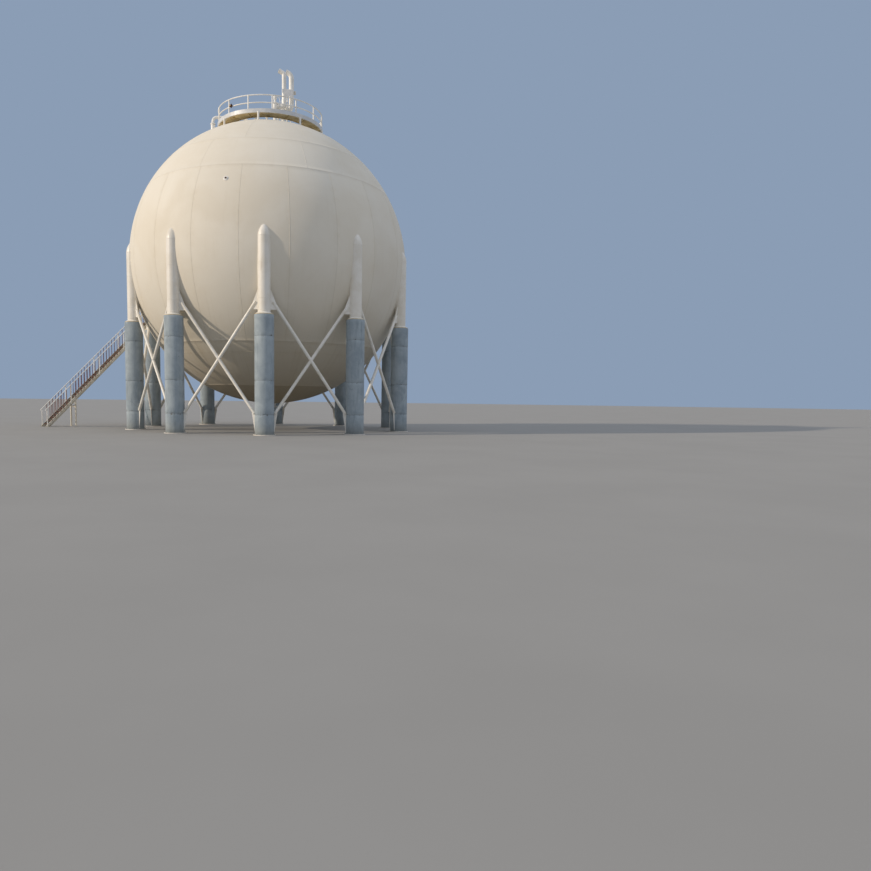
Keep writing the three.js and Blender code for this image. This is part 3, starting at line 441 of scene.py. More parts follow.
def spun(profile, sides=48, closed=False):
    """A profile of (radius, height) points turned about Z. An open profile ends on the axis."""
    bm = bmesh.new()
    verts = [bm.verts.new((radius, 0, height)) for radius, height in profile]
    edges = [bm.edges.new(pair) for pair in zip(verts, verts[1:])]
    if closed:
        edges.append(bm.edges.new((verts[-1], verts[0])))
    bmesh.ops.spin(bm, geom=verts + edges, axis=UP, cent=(0, 0, 0), angle=2 * math.pi,
                   steps=sides, use_merge=True)
    return cleaned(bm)


def along(places, outline):
    """A solid whose section is an outline of (x, y) points at each place."""
    bm = bmesh.new()
    face = bm.faces.new([bm.verts.new(places[0] @ Vector((x, y, 0))) for x, y in outline])
    for before, after in zip(places, places[1:]):
        made = bmesh.ops.extrude_face_region(bm, geom=[face, *face.edges])["geom"]
        face = next(part for part in made if isinstance(part, bmesh.types.BMFace))
        bmesh.ops.transform(bm, matrix=after @ before.inverted(), verts=face.verts[:])
    bmesh.ops.recalc_face_normals(bm, faces=bm.faces)
    return bm


def circle(radius, sides):
    turns = [2 * math.pi * i / sides for i in range(sides)]
    return [(radius * math.cos(turn), radius * math.sin(turn)) for turn in turns]


def rectangle(width, height):
    return [(-width / 2, -height / 2), (width / 2, -height / 2), (width / 2, height / 2),
            (-width / 2, height / 2)]


def pipe(points, radius, sides=16):
    """A solid round bar through a list of points."""
    points = [Vector(p) for p in points]
    ends = [(points[max(0, i - 1)], points[min(len(points) - 1, i + 1)]) for i in range(len(points))]
    matrix = facing(points[0], ends[0][1] - ends[0][0])
    places = [matrix]
    for point, (before, after) in zip(points[1:], ends[1:]):
        turn = matrix.col[2].to_3d().rotation_difference(after - before).to_matrix()
        matrix = (turn @ matrix.to_3x3()).to_4x4()
        matrix.translation = point
        places.append(matrix)
    return along(places, circle(radius, sides))


def bent(corners, bend, steps=8):
    """The points of a pipe run: straight between its corners, and bent at each."""
    corners = [Vector(c) for c in corners]
    points = [corners[0]]
    for before, corner, after in zip(corners, corners[1:], corners[2:]):
        start = corner + (before - corner).normalized() * bend
        end = corner + (after - corner).normalized() * bend
        for i in range(steps + 1):
            t = i / steps
            points.append(start.lerp(corner, t).lerp(corner.lerp(end, t), t))
    return points + [corners[-1]]


def arc(radius, height, start, end, step=3.0):
    """Upright sections along an arc round the tank: X points outwards and Y up."""
    count = max(1, round((end - start) / step))
    angles = [start + (end - start) * i / count for i in range(count + 1)]
    return [place(around(a, radius, height), outwards(a), UP, -onwards(a)) for a in angles]


def slab(length, width, height, edge=0.003):
    """A block centred on the origin, with its edges eased."""
    bm = bmesh.new()
    bmesh.ops.create_cube(bm, size=1, matrix=Matrix.Diagonal((length, width, height, 1)))
    bmesh.ops.bevel(bm, geom=bm.edges[:], offset=edge, segments=1, profile=0.5,
                    affect="EDGES", material=-1)
    return bm


def plate(outline, thickness, edge=0.003):
    """A flat plate cut to an outline of (x, z) points, standing upright along X."""
    bm = bmesh.new()
    face = bm.faces.new([bm.verts.new((x, -thickness / 2, z)) for x, z in outline])
    made = bmesh.ops.extrude_face_region(bm, geom=[face])["geom"]
    moved = [part for part in made if isinstance(part, bmesh.types.BMVert)]
    bmesh.ops.translate(bm, vec=(0, thickness, 0), verts=moved)
    bmesh.ops.recalc_face_normals(bm, faces=bm.faces)
    bmesh.ops.bevel(bm, geom=bm.edges[:], offset=edge, segments=1, profile=0.5,
                    affect="EDGES", material=-1)
    return bm


def bolt(size):
    """A hexagon bolt standing on its washer, with the end of its thread showing."""
    bm = bmesh.new()
    for sides, radius, low, high in ((10, 1.15, 0, 0.18), (6, 0.95, 0.18, 0.9), (8, 0.5, 0.9, 1.3)):
        middle = Matrix.Translation((0, 0, size * (low + high) / 2))
        bmesh.ops.create_cone(bm, cap_ends=True, segments=sides, radius1=size * radius,
                              radius2=size * radius, depth=size * (high - low), matrix=middle)
    return bm


def ring_of(count, radius, height=0.0, turn=0.0, flip=False):
    """Places round a circle, each with Z along the axis, or against it."""
    places = []
    for i in range(count):
        spot = Matrix.Rotation(2 * math.pi * i / count + turn, 4, "Z") @ Matrix.Translation((radius, 0, height))
        places.append(spot @ Matrix.Rotation(math.pi, 4, "X") if flip else spot)
    return places


class Piece:
    """One piece in the making. Each part goes in with its finish, sharp only at real edges."""

    def __init__(self):
        self.bm = bmesh.new()
        self.materials = []

    def add(self, part, material, places=None, crease=38):
        if material not in self.materials:
            self.materials.append(material)
        for face in part.faces:
            face.smooth = True
            face.material_index = self.materials.index(material)
        for edge in part.edges:
            edge.smooth = edge.calc_face_angle(0) < math.radians(crease)
        source = bpy.data.meshes.new("part")
        part.to_mesh(source)
        part.free()
        for spot in places or [Matrix.Identity(4)]:
            copy = source.copy()
            copy.transform(spot)
            self.bm.from_mesh(copy)
            bpy.data.meshes.remove(copy)
        bpy.data.meshes.remove(source)

    def flanges(self, spot, radius, thickness, bolts, material, size=0.016):
        """Two bolted flanges, face to face, with their joint at the place's origin."""
        rim = 0.15 * thickness
        half = [(0, 0.002), (radius * 0.96, 0.002), (radius, 0.002 + rim), (radius, thickness - rim),
                (radius - rim, thickness), (radius * 0.7, thickness), (radius * 0.62, thickness * 1.5),
                (0, thickness * 1.5)]
        gasket = [(0, -0.002), (radius * 0.8, -0.002), (radius * 0.8, 0.002), (0, 0.002)]
        for flip in (False, True):
            side = spot @ Matrix.Rotation(math.pi, 4, "X") if flip else spot
            self.add(spun(half, 32), material, [side])
            heads = [side @ b for b in ring_of(bolts, radius * 0.84, thickness)]
            self.add(bolt(size), ZINC, heads)
        self.add(spun(gasket, 24), SCALE, [spot])

    def finish(self, name, slot, *nodes):
        mesh = bpy.data.meshes.new(name)
        self.bm.to_mesh(mesh)
        self.bm.free()
        for material in self.materials:
            mesh.materials.append(material)
        piece = bpy.data.objects.new(name, mesh)
        bpy.context.scene.collection.objects.link(piece)
        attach(piece, "root")
        if nodes:
            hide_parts(*nodes)
        return piece


# The shell

BEAD_OUTLINE = [(-0.5, -0.4), (0.5, -0.4), (0.34, 0.6), (0.14, 1.0), (-0.14, 1.0), (-0.34, 0.6)]


def belt(top, bottom):
    """A belt of the shell, smooth outside and in. Half a weld bead stands at each of its seams."""
    steps = max(2, round((top - bottom) / 1.5))
    rows = [(top + (bottom - top) * i / steps, TANK_RADIUS) for i in range(steps + 1)]
    half = math.degrees(BEAD_WIDTH / 2 / TANK_RADIUS)
    if top < 90:
        rows[:1] = [(top, TANK_RADIUS + BEAD_HEIGHT), (top - half / 2, TANK_RADIUS + BEAD_HEIGHT * 0.7),
                    (top - half, TANK_RADIUS)]
    if bottom > -90:
        rows[-1:] = [(bottom + half, TANK_RADIUS), (bottom + half / 2, TANK_RADIUS + BEAD_HEIGHT * 0.7),
                     (bottom, TANK_RADIUS + BEAD_HEIGHT)]
    inner_steps = max(2, round((top - bottom) / 5))
    rows += [(bottom + (top - bottom) * i / inner_steps, TANK_RADIUS - SHELL_WALL)
             for i in range(inner_steps + 1)]
    profile = [(radius * math.cos(math.radians(latitude)) if abs(latitude) < 90 else 0.0,
                CENTRE_HEIGHT + radius * math.sin(math.radians(latitude)))
               for latitude, radius in rows]
    return spun(profile, SHELL_STEPS, closed=top < 90 and bottom > -90)


def meridian_bead(angle, top, bottom):
    """A weld bead that runs down the shell, half sunk in it."""
    steps = max(2, round((top - bottom) / 3))
    outline = [(x * BEAD_WIDTH, y * BEAD_HEIGHT) for x, y in BEAD_OUTLINE]
    places = []
    for i in range(steps + 1):
        latitude = top + (bottom - top) * i / steps
        out = (on_shell(angle, latitude) - CENTRE).normalized()
        places.append(place(on_shell(angle, latitude), onwards(angle), out, onwards(angle).cross(out)))
    return along(places, outline)


def girth_bead(latitude):
    reach, height = TANK_RADIUS * math.cos(math.radians(latitude)), math.sin(math.radians(latitude))
    out = Vector((math.cos(math.radians(latitude)), height))
    across = Vector((-out.y, out.x))
    middle = Vector((reach, CENTRE_HEIGHT + TANK_RADIUS * height))
    profile = [tuple(middle + across * x * BEAD_WIDTH + out * y * BEAD_HEIGHT) for x, y in BEAD_OUTLINE]
    return spun(profile, SHELL_STEPS, closed=True)


def shell_piece(node, paint, top, bottom, petals, petal_turn, clear=0.0):
    piece = Piece()
    piece.add(belt(top, bottom), PAINT[paint], crease=60)
    for i in range(petals):
        angle = petal_turn + 360 * i / petals
        ends = (min(top, 90 - clear) - 0.2, max(bottom, clear - 90) + 0.2)
        piece.add(meridian_bead(angle, *ends), PAINT[paint], crease=60)
    return piece


def add_nozzle(piece, spot, radius, flange, rise, bolts, paint):
    """A pipe stub with a bolted blind flange, standing on the shell. rise is up to the joint."""
    neck = [(0, -0.06), (radius, -0.06), (radius, rise - 0.02), (0, rise - 0.02)]
    weld = [(0, 0), (radius + 0.025, 0), (radius + 0.018, 0.014), (radius, 0.028), (0, 0.028)]
    piece.add(spun(neck, 32), paint, [spot])
    piece.add(spun(weld, 32), paint, [spot])
    joint = spot @ Matrix.Translation((0, 0, rise))
    piece.flanges(joint, flange, FLANGE_THICKNESS, bolts, paint)


crown = shell_piece("top_crown", "crown", 90, CROWN_SEAM, 11, -10.5, clear=12)
for nozzle in TOP_NOZZLES[2:]:
    foot = around(nozzle["angle"], nozzle["reach"], height_on_crown(nozzle["reach"]))
    bolts = 20 if nozzle["radius"] > 0.2 else 8
    add_nozzle(crown, Matrix.Translation(foot), nozzle["radius"], nozzle["flange"],
               nozzle["height"] - foot.z - FLANGE_THICKNESS, bolts, WHITE_STEEL)
for nozzle in TOP_NOZZLES[:2]:
    foot = around(nozzle["angle"], nozzle["reach"], height_on_crown(nozzle["reach"]))
    rise = nozzle["height"] - foot.z
    spot = Matrix.Translation(foot)
    neck = [(0, -0.06), (nozzle["radius"], -0.06), (nozzle["radius"], rise - 0.06),
            (nozzle["flange"] * 0.68, rise - FLANGE_THICKNESS), (0, rise - FLANGE_THICKNESS)]
    crown.add(spun(neck, 32), WHITE_STEEL, [spot])
for across, radius in SMALL_NOZZLES:
    reach = math.hypot(across, 1.5)
    foot = Vector((across, -1.5, height_on_crown(reach)))
    rise = 0.2 + radius
    add_nozzle(crown, Matrix.Translation(foot), radius * 0.6, radius * 1.2, rise, 4, WHITE_STEEL)
crown.finish("top_crown_plates", "shell", "top_crown")

shell_piece("upper_belt", "upper", CROWN_SEAM, UPPER_SEAM, 8, 17.4).finish(
    "upper_belt_plates", "shell", "upper_belt")

equator = shell_piece("equator_belt", "equator", UPPER_SEAM, LOWER_SEAM, 20, 9)
stub = facing(on_shell(SIDE_NOZZLE["angle"], SIDE_NOZZLE["latitude"]),
              on_shell(SIDE_NOZZLE["angle"], SIDE_NOZZLE["latitude"]) - CENTRE)
bore, pad = SIDE_NOZZLE["bore"], SIDE_NOZZLE["pad"]
equator.add(spun([(bore, -0.02), (pad, -0.02), (pad, 0.01), (pad - 0.01, 0.016), (bore + 0.025, 0.02),
                  (bore + 0.02, 0.05), (bore, 0.05)], 32, closed=True), WHITE_STEEL, [stub])
equator.add(spun([(0, -0.015), (bore - 0.002, -0.015), (bore - 0.002, 0.03), (0, 0.03)], 28), SCALE, [stub])
equator.finish("equator_belt_plates", "shell", "equator_belt")

lower = shell_piece("lower_belt", "lower", LOWER_SEAM, BOTTOM_SEAM, 20, 0)
lower.add(girth_bead(NARROW_RING_SEAM), PAINT["lower"], crease=60)
lower.finish("lower_belt_plates", "shell", "lower_belt")

bottom = shell_piece("bottom_crown", "bottom", BOTTOM_SEAM, -90, 8, 12, clear=12)
hanging = Matrix.Translation((0, 0, CENTRE_HEIGHT - TANK_RADIUS)) @ Matrix.Rotation(math.pi, 4, "X")
drop = CENTRE_HEIGHT - TANK_RADIUS - BOTTOM_MANHOLE["height"] - FLANGE_THICKNESS
add_nozzle(bottom, hanging, BOTTOM_MANHOLE["radius"], BOTTOM_MANHOLE["flange"], drop, 20, CREAM_STEEL)
bottom.finish("bottom_crown_plates", "shell", "bottom_crown")


# The columns

def cap_radius(share):
    """The ogive cap's radius at a share of its height, as a share of the column's."""
    return 0.4 * (1 - share ** 1.5) + 0.6 * math.sqrt(max(0.0, 1 - share ** 2))


def column_radius_at(height):
    if height <= CAP_BASE:
        return COLUMN_RADIUS
    return COLUMN_RADIUS * cap_radius((height - CAP_BASE) / (CAP_TIP - CAP_BASE))


def weld_ring(radius, height, bead=0.007, half=0.018):
    return [(radius, height - half), (radius + bead, height - half / 2), (radius + bead, height + half / 2),
            (radius, height + half)]


def column_profile():
    profile = [(0, 0), (BASE_RADIUS - 0.006, 0), (BASE_RADIUS, 0.006), (BASE_RADIUS, BASE_THICKNESS - 0.006),
               (BASE_RADIUS - 0.006, BASE_THICKNESS), (COLUMN_RADIUS, BASE_THICKNESS),
               (COLUMN_RADIUS, SLEEVE_TOP + FLASHING_LIP + 0.001), (FLASHING_RADIUS - 0.004, SLEEVE_TOP + FLASHING_LIP + 0.001),
               (COLUMN_RADIUS + 0.02, SLEEVE_TOP + FLASHING_HEIGHT), (COLUMN_RADIUS, SLEEVE_TOP + FLASHING_HEIGHT + 0.02)]
    for height in COLUMN_WELDS:
        profile += weld_ring(COLUMN_RADIUS, height)
    steps = 14
    for i in range(1, steps):
        share = i / steps
        profile.append((COLUMN_RADIUS * cap_radius(share), CAP_BASE + (CAP_TIP - CAP_BASE) * share))
    return profile + [(0, CAP_TIP)]


def junction():
    """The curve where a column meets the shell, in the column's place, down one side and up the other."""
    side = []
    height = CAP_TIP - 0.03
    while height > CENTRE_HEIGHT:
        radius = column_radius_at(height)
        reach_squared = TANK_RADIUS ** 2 - (height - CENTRE_HEIGHT) ** 2
        cosine = (reach_squared - COLUMN_CIRCLE ** 2 - radius ** 2) / (2 * COLUMN_CIRCLE * radius)
        if cosine < 1:
            turn = math.acos(cosine)
            side.append(Vector((radius * math.cos(turn), radius * math.sin(turn), height)))
        height -= 0.05
    first = math.atan2(side[-1].y, side[-1].x)
    steps = 20
    for i in range(1, steps + 1):
        turn = first + (math.pi - first) * i / steps
        x, y = COLUMN_RADIUS * math.cos(turn), COLUMN_RADIUS * math.sin(turn)
        reach = math.hypot(COLUMN_CIRCLE + x, y)
        side.append(Vector((x, y, CENTRE_HEIGHT - math.sqrt(max(0.0, TANK_RADIUS ** 2 - reach ** 2)))))
    other = [Vector((p.x, -p.y, p.z)) for p in reversed(side[:-1])]
    return side + other


def sleeve_profile():
    """The fireproofing's section, closed on itself, with a groove at each day joint."""
    outside = [(SLEEVE_RADIUS - 0.012, BASE_THICKNESS + 0.001), (SLEEVE_RADIUS, BASE_THICKNESS + 0.012)]
    last = outside[-1][1]
    for joint in SLEEVE_JOINTS + [SLEEVE_TOP]:
        rows = max(1, round((joint - last) / 0.22))
        outside += [(SLEEVE_RADIUS, last + (joint - last) * i / rows) for i in range(1, rows)]
        if joint < SLEEVE_TOP:
            outside += [(SLEEVE_RADIUS, joint - 0.014), (SLEEVE_RADIUS - 0.005, joint - 0.004),
                        (SLEEVE_RADIUS - 0.005, joint + 0.004), (SLEEVE_RADIUS, joint + 0.014)]
        last = joint
    outside += [(SLEEVE_RADIUS, SLEEVE_TOP - 0.02), (SLEEVE_RADIUS - 0.02, SLEEVE_TOP)]
    inside = [(COLUMN_RADIUS + 0.001, SLEEVE_TOP), (COLUMN_RADIUS + 0.001, BASE_THICKNESS + 0.001)]
    return outside + inside


def sleeve(seed):
    """One sleeve: its joints waver, and cement has broken away beside them."""
    bm = spun(sleeve_profile(), 60, closed=True)
    draw = random.Random(seed)
    shift = Vector((draw.uniform(0, 50), draw.uniform(0, 50), draw.uniform(0, 50)))
    for vert in bm.verts:
        reach = math.hypot(vert.co.x, vert.co.y)
        if reach < SLEEVE_RADIUS - 0.03:
            continue
        nearest = min(abs(vert.co.z - joint) for joint in SLEEVE_JOINTS)
        lump = noise.noise(vert.co * 1.7 + shift) * 0.004
        chip = max(0.0, noise.noise(vert.co * 5 + shift) - 0.2) * 0.08 if nearest < 0.05 else 0.0
        scale = (reach + lump - min(chip, 0.02)) / reach
        vert.co.x *= scale
        vert.co.y *= scale
        if nearest < 0.05:
            vert.co.z += noise.noise(Vector((vert.co.x, vert.co.y, 0)) * 3 + shift) * 0.03
    return bm


weld_line = junction()
for i in range(COLUMN_COUNT):
    angle = i * COLUMN_STEP
    spot = standing(angle)
    number = f"{i + 1:02d}"
    column = Piece()
    column.add(spun(column_profile(), 56), CREAM_STEEL, [spot], crease=30)
    column.add(spun([(COLUMN_RADIUS + 0.001, SLEEVE_TOP + 0.001), (FLASHING_RADIUS, SLEEVE_TOP + 0.001),
                     (FLASHING_RADIUS, SLEEVE_TOP + FLASHING_LIP), (COLUMN_RADIUS + 0.001, SLEEVE_TOP + FLASHING_LIP)],
                    56, closed=True), STAINED_STEEL, [spot], crease=30)
    column.add(pipe(weld_line, 0.015, 6), CREAM_STEEL, [spot], crease=80)
    column.add(bolt(0.03), ZINC, [spot @ b for b in ring_of(12, BASE_RADIUS - 0.05, BASE_THICKNESS, 0.2)])
    column.finish(f"column_{number}_pipe", "column_pipe", f"column_{number}")
    casing = Piece()
    casing.add(sleeve(100 + i), CEMENT, [spot], crease=50)
    casing.finish(f"column_sleeve_{number}_cement", "fireproofing", f"column_sleeve_{number}")


# The cross bracing, drawn in the plane of one bay with X from its left column and Z up

HIGH_GUSSET = [(-0.004, 8.06), (0.03, 8.06), (0.39, 7.19), (0.33, 6.99), (-0.004, 6.99)]
LOW_GUSSET = [(-0.02, 1.28), (0.15, 1.46), (0.2, 1.22), (0.015, 0.09), (-0.02, 0.09)]


def bay_place(angle):
    """The place of the bay that starts at a column."""
    start = around(angle, COLUMN_CIRCLE)
    heading = around(angle + COLUMN_STEP, COLUMN_CIRCLE) - start
    return upright(start, heading)


def brace_line(from_left):
    ends = [Vector((x if from_left else BAY - x, 0, z)) for x, z in (BRACE_HIGH, BRACE_LOW)]
    return ends


turned_round = Matrix.Translation((BAY, 0, 0)) @ Matrix.Rotation(math.pi, 4, "Z")
for i in range(COLUMN_COUNT):
    bay = bay_place(i * COLUMN_STEP)
    piece = Piece()
    for from_left in (True, False):
        high, low = brace_line(from_left)
        run = (low - high).normalized()
        piece.add(pipe([high, low], BRACE_RADIUS, 24), BRACE_STEEL, [bay])
        side = bay if from_left else bay @ turned_round
        other = bay @ turned_round if from_left else bay
        piece.add(plate([(COLUMN_RADIUS + x, z) for x, z in HIGH_GUSSET], GUSSET_THICKNESS),
                  BRACE_STEEL, [side])
        piece.add(plate([(SLEEVE_RADIUS + x, z) for x, z in LOW_GUSSET], GUSSET_THICKNESS),
                  BRACE_STEEL, [other])
        for end, inward in ((high, run), (low, -run)):
            collar = facing(end + inward * 0.3, inward)
            piece.add(spun([(BRACE_RADIUS - 0.002, -0.012), (BRACE_RADIUS + 0.008, -0.006),
                            (BRACE_RADIUS + 0.008, 0.006), (BRACE_RADIUS - 0.002, 0.012)], 24, closed=True),
                      BRACE_STEEL, [bay @ collar])
    number = f"{i + 1:02d}"
    piece.finish(f"cross_brace_{number}_pipes", "bracing", f"cross_brace_{number}")


# The line of the stair: stations on the walking line, each with its level heading and right side

class Station:
    def __init__(self, spot, heading):
        self.spot = spot
        self.heading = Vector((heading.x, heading.y, 0)).normalized()
        self.side = Vector((self.heading.y, -self.heading.x, 0))

    def section(self, offset=0.0, lift=0.0):
        """A section's place: X to the right, Y up, at an offset to the right and a lift."""
        return place(self.spot + self.side * offset + UP * lift, self.side, UP, -self.heading)

    def block(self, offset=0.0, lift=0.0):
        """A block's place: X along the heading and Z up."""
        return upright(self.spot + self.side * offset + UP * lift, self.heading)


def between(first, second, share=0.5):
    return Station(first.spot.lerp(second.spot, share), second.spot - first.spot)


MID_START = LOWER_FLIGHT["angle"] - math.degrees(MID_LENGTH / STAIR_RADIUS)


def upper_stations():
    risers, going = UPPER_FLIGHT["risers"], UPPER_FLIGHT["going"]
    rise = (DECK_TOP - MID_HEIGHT) / risers
    reach = math.hypot(STAIR_RADIUS, MID_HEIGHT - CENTRE_HEIGHT)
    heights = [DECK_TOP - i * rise for i in range(risers + 1)]
    radii = [math.sqrt(reach ** 2 - (z - CENTRE_HEIGHT) ** 2) for z in heights]
    angles = [MID_START]
    for i in range(risers, 0, -1):
        spread = radii[i] - radii[i - 1]
        round_about = math.sqrt(max(0.0, going ** 2 - spread ** 2))
        angles.insert(0, angles[0] - math.degrees(2 * round_about / (radii[i] + radii[i - 1])))
    spots = [around(a, r, z) for a, r, z in zip(angles, radii, heights)]
    stations = [Station(spots[0], outwards(angles[0]))]
    for i in range(1, risers):
        stations.append(Station(spots[i], spots[i + 1] - spots[i - 1]))
    return stations + [Station(spots[-1], onwards(angles[-1]))]


def lower_stations():
    risers, going, angle = LOWER_FLIGHT["risers"], LOWER_FLIGHT["going"], LOWER_FLIGHT["angle"]
    start = around(angle, STAIR_RADIUS, MID_HEIGHT)
    heading = onwards(angle)
    return [Station(start + heading * (i * going) - UP * (i * MID_HEIGHT / risers), heading)
            for i in range(risers + 1)]


UPPER_LINE = upper_stations()
LOWER_LINE = lower_stations()
HEAD = UPPER_LINE[0].spot
HEAD_ANGLE = math.degrees(math.atan2(HEAD.x, -HEAD.y))
HEAD_REACH = math.hypot(HEAD.x, HEAD.y)
GATE_HALF_ANGLE = math.degrees(math.asin(TOP_LANDING_WIDTH / 2 / RAIL_CIRCLE))
GATE = (HEAD_ANGLE + GATE_HALF_ANGLE, HEAD_ANGLE - GATE_HALF_ANGLE + 360)


# The walkway

deck = Piece()
for low, high, steel in ((0.02, 0.0085, DECK_STEEL), (0.008, 0.0, STAIR_STEEL)):
    deck.add(spun([(DECK_INNER, DECK_TOP - low), (DECK_OUTER - 0.02, DECK_TOP - low),
                   (DECK_OUTER - 0.02, DECK_TOP - high), (DECK_INNER, DECK_TOP - high)], 120, closed=True), steel)
deck.add(spun([(DECK_INNER, DECK_UNDERSIDE), (DECK_INNER + 0.012, DECK_UNDERSIDE),
               (DECK_INNER + 0.012, DECK_TOP - 0.021), (DECK_INNER, DECK_TOP - 0.021)], 120, closed=True),
         DECK_STEEL)
channel = [(-0.018, 0), (0, 0), (0, 0.23), (-0.03, 0.23), (-0.03, 0.222), (-0.018, 0.222)]
deck.add(along(arc(DECK_OUTER, DECK_UNDERSIDE, *GATE), channel), GREY_STEEL)
lip = [(-0.07, 0), (-0.019, 0), (-0.019, 0.008), (-0.07, 0.008)]
deck.add(along(arc(DECK_OUTER, DECK_UNDERSIDE, *GATE), lip), WHITE_STEEL)
rib_length = DECK_OUTER - DECK_INNER - 0.035
rib_step = 360 / DECK_RIB_COUNT
for i in range(DECK_RIB_COUNT):
    angle = i * rib_step
    middle = around(angle, DECK_INNER + 0.013 + rib_length / 2, DECK_UNDERSIDE + 0.02)
    deck.add(slab(rib_length, 0.012, 0.056, 0.002), DECK_STEEL, [upright(middle, outwards(angle))])
    joint = angle + rib_step / 2
    strip = upright(around(joint, DECK_INNER + 0.4, DECK_TOP + 0.003), outwards(joint))
    deck.add(slab(0.78, 0.04, 0.006, 0.001), DECK_STEEL, [strip])
for i in range(DECK_POST_COUNT):
    angle = DECK_POST_TURN + i * 360 / DECK_POST_COUNT
    foot = around(angle, DECK_POST_CIRCLE, height_on_crown(DECK_POST_CIRCLE))
    head = Vector((foot.x, foot.y, DECK_TOP - 0.03))
    deck.add(pipe([foot - UP * 0.04, head], DECK_POST_RADIUS, 24), WHITE_STEEL)
    pad = facing(foot, foot - CENTRE)
    deck.add(spun([(0, -0.01), (0.12, -0.01), (0.12, 0.01), (0.115, 0.014), (0, 0.014)], 32),
             WHITE_STEEL, [pad])
    deck.add(slab(0.18, 0.16, 0.014, 0.002), WHITE_STEEL,
             [upright(around(angle, DECK_POST_CIRCLE - 0.05, DECK_UNDERSIDE - 0.007), outwards(angle))])
deck.finish("walkway_deck_plates", "walkway", "walkway_deck")

rail = Piece()
RAIL_TOP = DECK_TOP + RAIL_HEIGHT - RAIL_RADIUS
MID_RAIL = DECK_TOP + MID_RAIL_HEIGHT
for height in (RAIL_TOP, MID_RAIL):
    rail.add(along(arc(RAIL_CIRCLE, height, *GATE, step=2), circle(RAIL_RADIUS, 12)), WHITE_STEEL)
step = 360 / RAIL_POST_COUNT
post_angles = [RAIL_POST_TURN + i * step for i in range(RAIL_POST_COUNT)]
post_angles = [a for a in post_angles if abs(a - HEAD_ANGLE) > 1.5 * GATE_HALF_ANGLE]
post_angles += [HEAD_ANGLE - GATE_HALF_ANGLE, HEAD_ANGLE + GATE_HALF_ANGLE]
for angle in post_angles:
    foot = around(angle, RAIL_CIRCLE, DECK_TOP)
    rail.add(pipe([foot + UP * 0.002, foot.xy.to_3d() + UP * RAIL_TOP], RAIL_POST_RADIUS, 14), WHITE_STEEL)
    rail.add(slab(0.1, 0.1, 0.01, 0.002), WHITE_STEEL, [upright(foot + UP * 0.006, outwards(angle))])
    rail.add(bolt(0.009), ZINC, [upright(foot + UP * 0.011, outwards(angle)) @ Matrix.Translation((x, y, 0))
                                 for x in (-0.036, 0.036) for y in (-0.036, 0.036)])


def add_mesh_screen(piece, spots, low, high, material):
    """Square wire mesh between two heights, along upright places whose X is across the screen."""
    wire = circle(MESH_WIRE, 4)
    rows = round((high - low) / MESH_PITCH)
    for i in range(rows + 1):
        lift = Matrix.Translation((0, low + (high - low) * i / rows, 0))
        piece.add(along([spot @ lift for spot in spots], wire), material)
    for spot in spots:
        ends = [spot @ Vector((0, low, 0)), spot @ Vector((0, high, 0))]
        piece.add(pipe(ends, MESH_WIRE, 4), material)


pitch_angle = math.degrees(MESH_PITCH / RAIL_CIRCLE)
add_mesh_screen(rail, arc(RAIL_CIRCLE, DECK_TOP, *MESH_SPAN, pitch_angle), 0.18, RAIL_HEIGHT - 0.06, WHITE_STEEL)

lamp_spot = upright(around(LAMP["angle"], RAIL_CIRCLE, LAMP["height"]), outwards(LAMP["angle"]))
rail.add(slab(0.04, 0.04, 0.24, 0.004), SCALE, [lamp_spot @ Matrix.Translation((0.045, 0, 0.02))])
rail.add(slab(0.11, 0.2, 0.13, 0.015), SCALE, [lamp_spot @ Matrix.Translation((0.1, 0, 0))])
rail.add(spun([(0, 0), (0.05, 0), (0.05, 0.02), (0.04, 0.045), (0.02, 0.06), (0, 0.065)], 20), GLASS,
         [lamp_spot @ Matrix.Translation((0.15, 0, 0)) @ Matrix.Rotation(math.pi / 2, 4, "Y")])
rail.finish("walkway_rail_tubes", "walkway", "walkway_rail")


# The stair's landings

def add_landing_side(piece, ends, offset, screen=False):
    """Posts, rails and a kick plate on one side of a landing, between two stations."""
    middle = between(*ends)
    length = (ends[1].spot - ends[0].spot).length
    for end in ends:
        piece.add(slab(STAIR_POST_SIZE, STAIR_POST_SIZE, RAIL_HEIGHT, 0.004), WHITE_STEEL,
                  [end.block(offset, RAIL_HEIGHT / 2)])
    for lift in (RAIL_HEIGHT - STAIR_RAIL_SIZE / 2, MID_RAIL_HEIGHT):
        piece.add(along([end.section(offset, lift) for end in ends], circle(STAIR_RAIL_SIZE / 2, 12)),
                  WHITE_STEEL)
    piece.add(slab(length, 0.008, KICK_HEIGHT, 0.002), WHITE_STEEL, [middle.block(offset, KICK_HEIGHT / 2)])
    if screen:
        count = max(2, round(length / MESH_PITCH))
        spots = [between(*ends, i / count).section(offset) for i in range(count + 1)]
        add_mesh_screen(piece, spots, KICK_HEIGHT, RAIL_HEIGHT - 0.05, WHITE_STEEL)


def add_chequer(piece, spot, length, width):
    """Raised diamonds on a floor plate, drawn larger than real ones so that they show."""
    tear = bmesh.new()
    bmesh.ops.create_cone(tear, cap_ends=True, segments=4, radius1=0.028, radius2=0.014, depth=0.004)
    bmesh.ops.scale(tear, vec=(1, 0.35, 1), verts=tear.verts)
    spots = []
    columns, rows = int(length / 0.09), int(width / 0.09)
    for i in range(columns):
        for j in range(rows):
            x, y = (i - (columns - 1) / 2) * 0.09, (j - (rows - 1) / 2) * 0.09
            turn = math.radians(45 if (i + j) % 2 else -45)
            spots.append(spot @ Matrix.Translation((x, y, 0.0015)) @ Matrix.Rotation(turn, 4, "Z"))
    piece.add(tear, TREAD_PLATE, spots)


